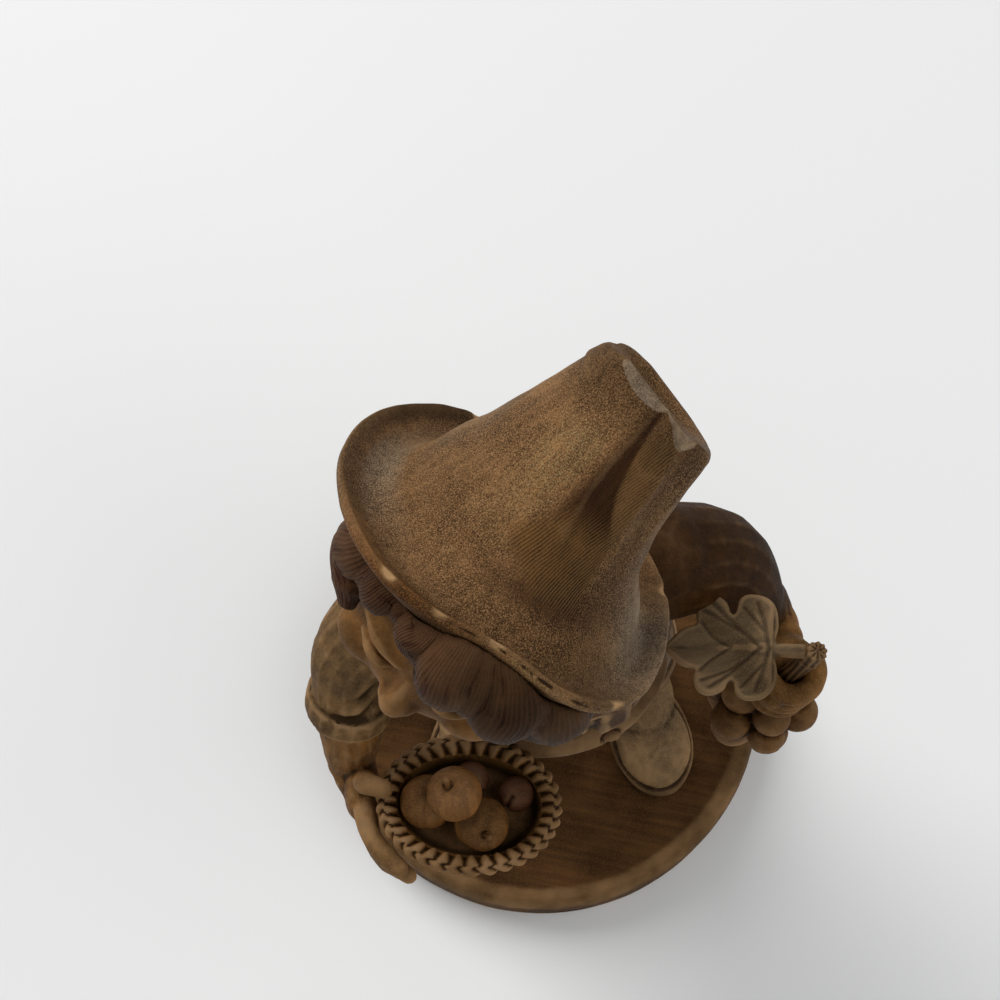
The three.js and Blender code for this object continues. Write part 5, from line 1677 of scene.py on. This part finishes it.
def vine_leaf():
    half = [(LEAF_LENGTH * x, LEAF_HALF_WIDTH * y) for x, y in LEAF_EDGE]
    border = half + [(x, -y) for x, y in half[-2:0:-1]]
    made = line([(x, y, 0) for x, y in border], [1] * len(border))
    made.data.dimensions = "2D"
    made.data.fill_mode = "BOTH"
    made.data.splines[0].use_cyclic_u = True
    made.data.extrude = 0.55
    made.data.bevel_depth = 0.15
    bpy.ops.object.convert(target="MESH")
    blade = bpy.context.object
    rib = limb([(-4, 0, 0.1), (3, 0, 0.3), (12, 0, 0.2)], [1.0, 0.8, 0.5])
    form, _ = fuse([blade, rib], voxel=0.24, rounds=2)
    points = points_of(form)
    flat = np.stack([points[:, 0] / LEAF_LENGTH, np.abs(points[:, 1]) / LEAF_HALF_WIDTH], 1)
    veins = np.max([groove(flat, vein, 0.024) for vein in LEAF_VEINS], 0)
    upper = ease(normals_of(form)[:, 2] * 3)
    raise_skin(form, -0.22 * veins * upper)
    points = points_of(form)
    fold = math.tan(math.radians(14)) * np.abs(points[:, 1])
    curl = 0.5 * np.sin(0.55 * points[:, 0] + 0.5 * np.abs(points[:, 1])) * (points[:, 0] > 0)
    points[:, 2] += fold + 0.7 + curl - 0.012 * np.maximum(points[:, 0], 0) ** 2
    put_points(form, points)
    plain_finish(form, LEAF_STAIN, share=0.6)
    wood = carved_wood("leaf_wood", turned("Y", 90), wear=0.5, dusty=0.3)
    start = STEM_RADIUS + 0.3 + 4
    laid = turned("Z", 168) @ turned("Y", 12) @ Matrix.Translation((start, 0, 0))
    place = GRAPES @ Matrix.Translation((0, 0, STEM_TOP - 2)) @ laid
    return settle(form, "vine_leaf_carving", ["vine_leaf"], wood, place)


# Joinery, which keeps the solids' own shapes


def joinery():
    beech, steel = dowel_wood(), screw_steel()
    for name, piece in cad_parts.items():
        is_screw = name.startswith("screw_")
        if is_screw or name.endswith("_dowel"):
            piece.data.materials.clear()
            piece.data.materials.append(steel if is_screw else beech)


# Stage


def floor():
    bpy.ops.object.select_all(action="DESELECT")
    bpy.ops.mesh.primitive_plane_add(size=6)
    sheet = bpy.context.object
    sheet.name = "floor"
    pale, _, shader = new_material("pale_floor")
    shader.inputs["Base Color"].default_value = opaque(PALE_FLOOR)
    shader.inputs["Roughness"].default_value = 0.6
    sheet.data.materials.append(pale)


def softbox(name, place, aim, size, power):
    data = bpy.data.lights.new(name, "AREA")
    data.shape = "DISK"
    data.size = size
    data.energy = power
    lamp = bpy.data.objects.new(name, data)
    bpy.context.scene.collection.objects.link(lamp)
    lamp.location = place
    lamp.rotation_euler = (Vector(aim) - Vector(place)).to_track_quat("-Z", "Y").to_euler()


def lights():
    softbox("window", place=(-0.55, 0.75, 1.0), aim=(0, 0, 0.12), size=1.0, power=12)
    softbox("fill", place=(0.6, -0.3, 0.7), aim=(0, 0, 0.1), size=0.9, power=2.4)
    world = bpy.data.worlds.new("studio")
    bpy.context.scene.world = world
    world.use_nodes = True
    sky = world.node_tree.nodes["Background"]
    sky.inputs["Color"].default_value = (0.95, 0.97, 1.0, 1)
    sky.inputs["Strength"].default_value = 0.36


# Where the camera stands, in millimetres from the middle of the floor
CAMERA_PLACE = (-17.5, -72.04, 415.05)


def camera():
    data = bpy.data.cameras.new("camera")
    data.lens = 82.8
    data.sensor_width = 36
    data.clip_start = 0.01
    made = bpy.data.objects.new("camera", data)
    bpy.context.scene.collection.objects.link(made)
    right, up, back = (0.990, -0.139, 0), (0.134, 0.957, 0.259), (-0.036, -0.256, 0.966)
    turn = Matrix((right, up, back)).transposed().to_quaternion().to_matrix().to_4x4()
    made.matrix_world = Matrix.Translation(Vector(CAMERA_PLACE) * MM) @ turn
    bpy.context.scene.camera = made


camera()
lights()
floor()
plinth()
figure_piece()
right_arm()
left_arm()
head()
hair()
hat()
basket()
fruit()
grapes()
vine_stem()
vine_leaf()
joinery()
bpy.context.scene.view_settings.view_transform = "Standard"
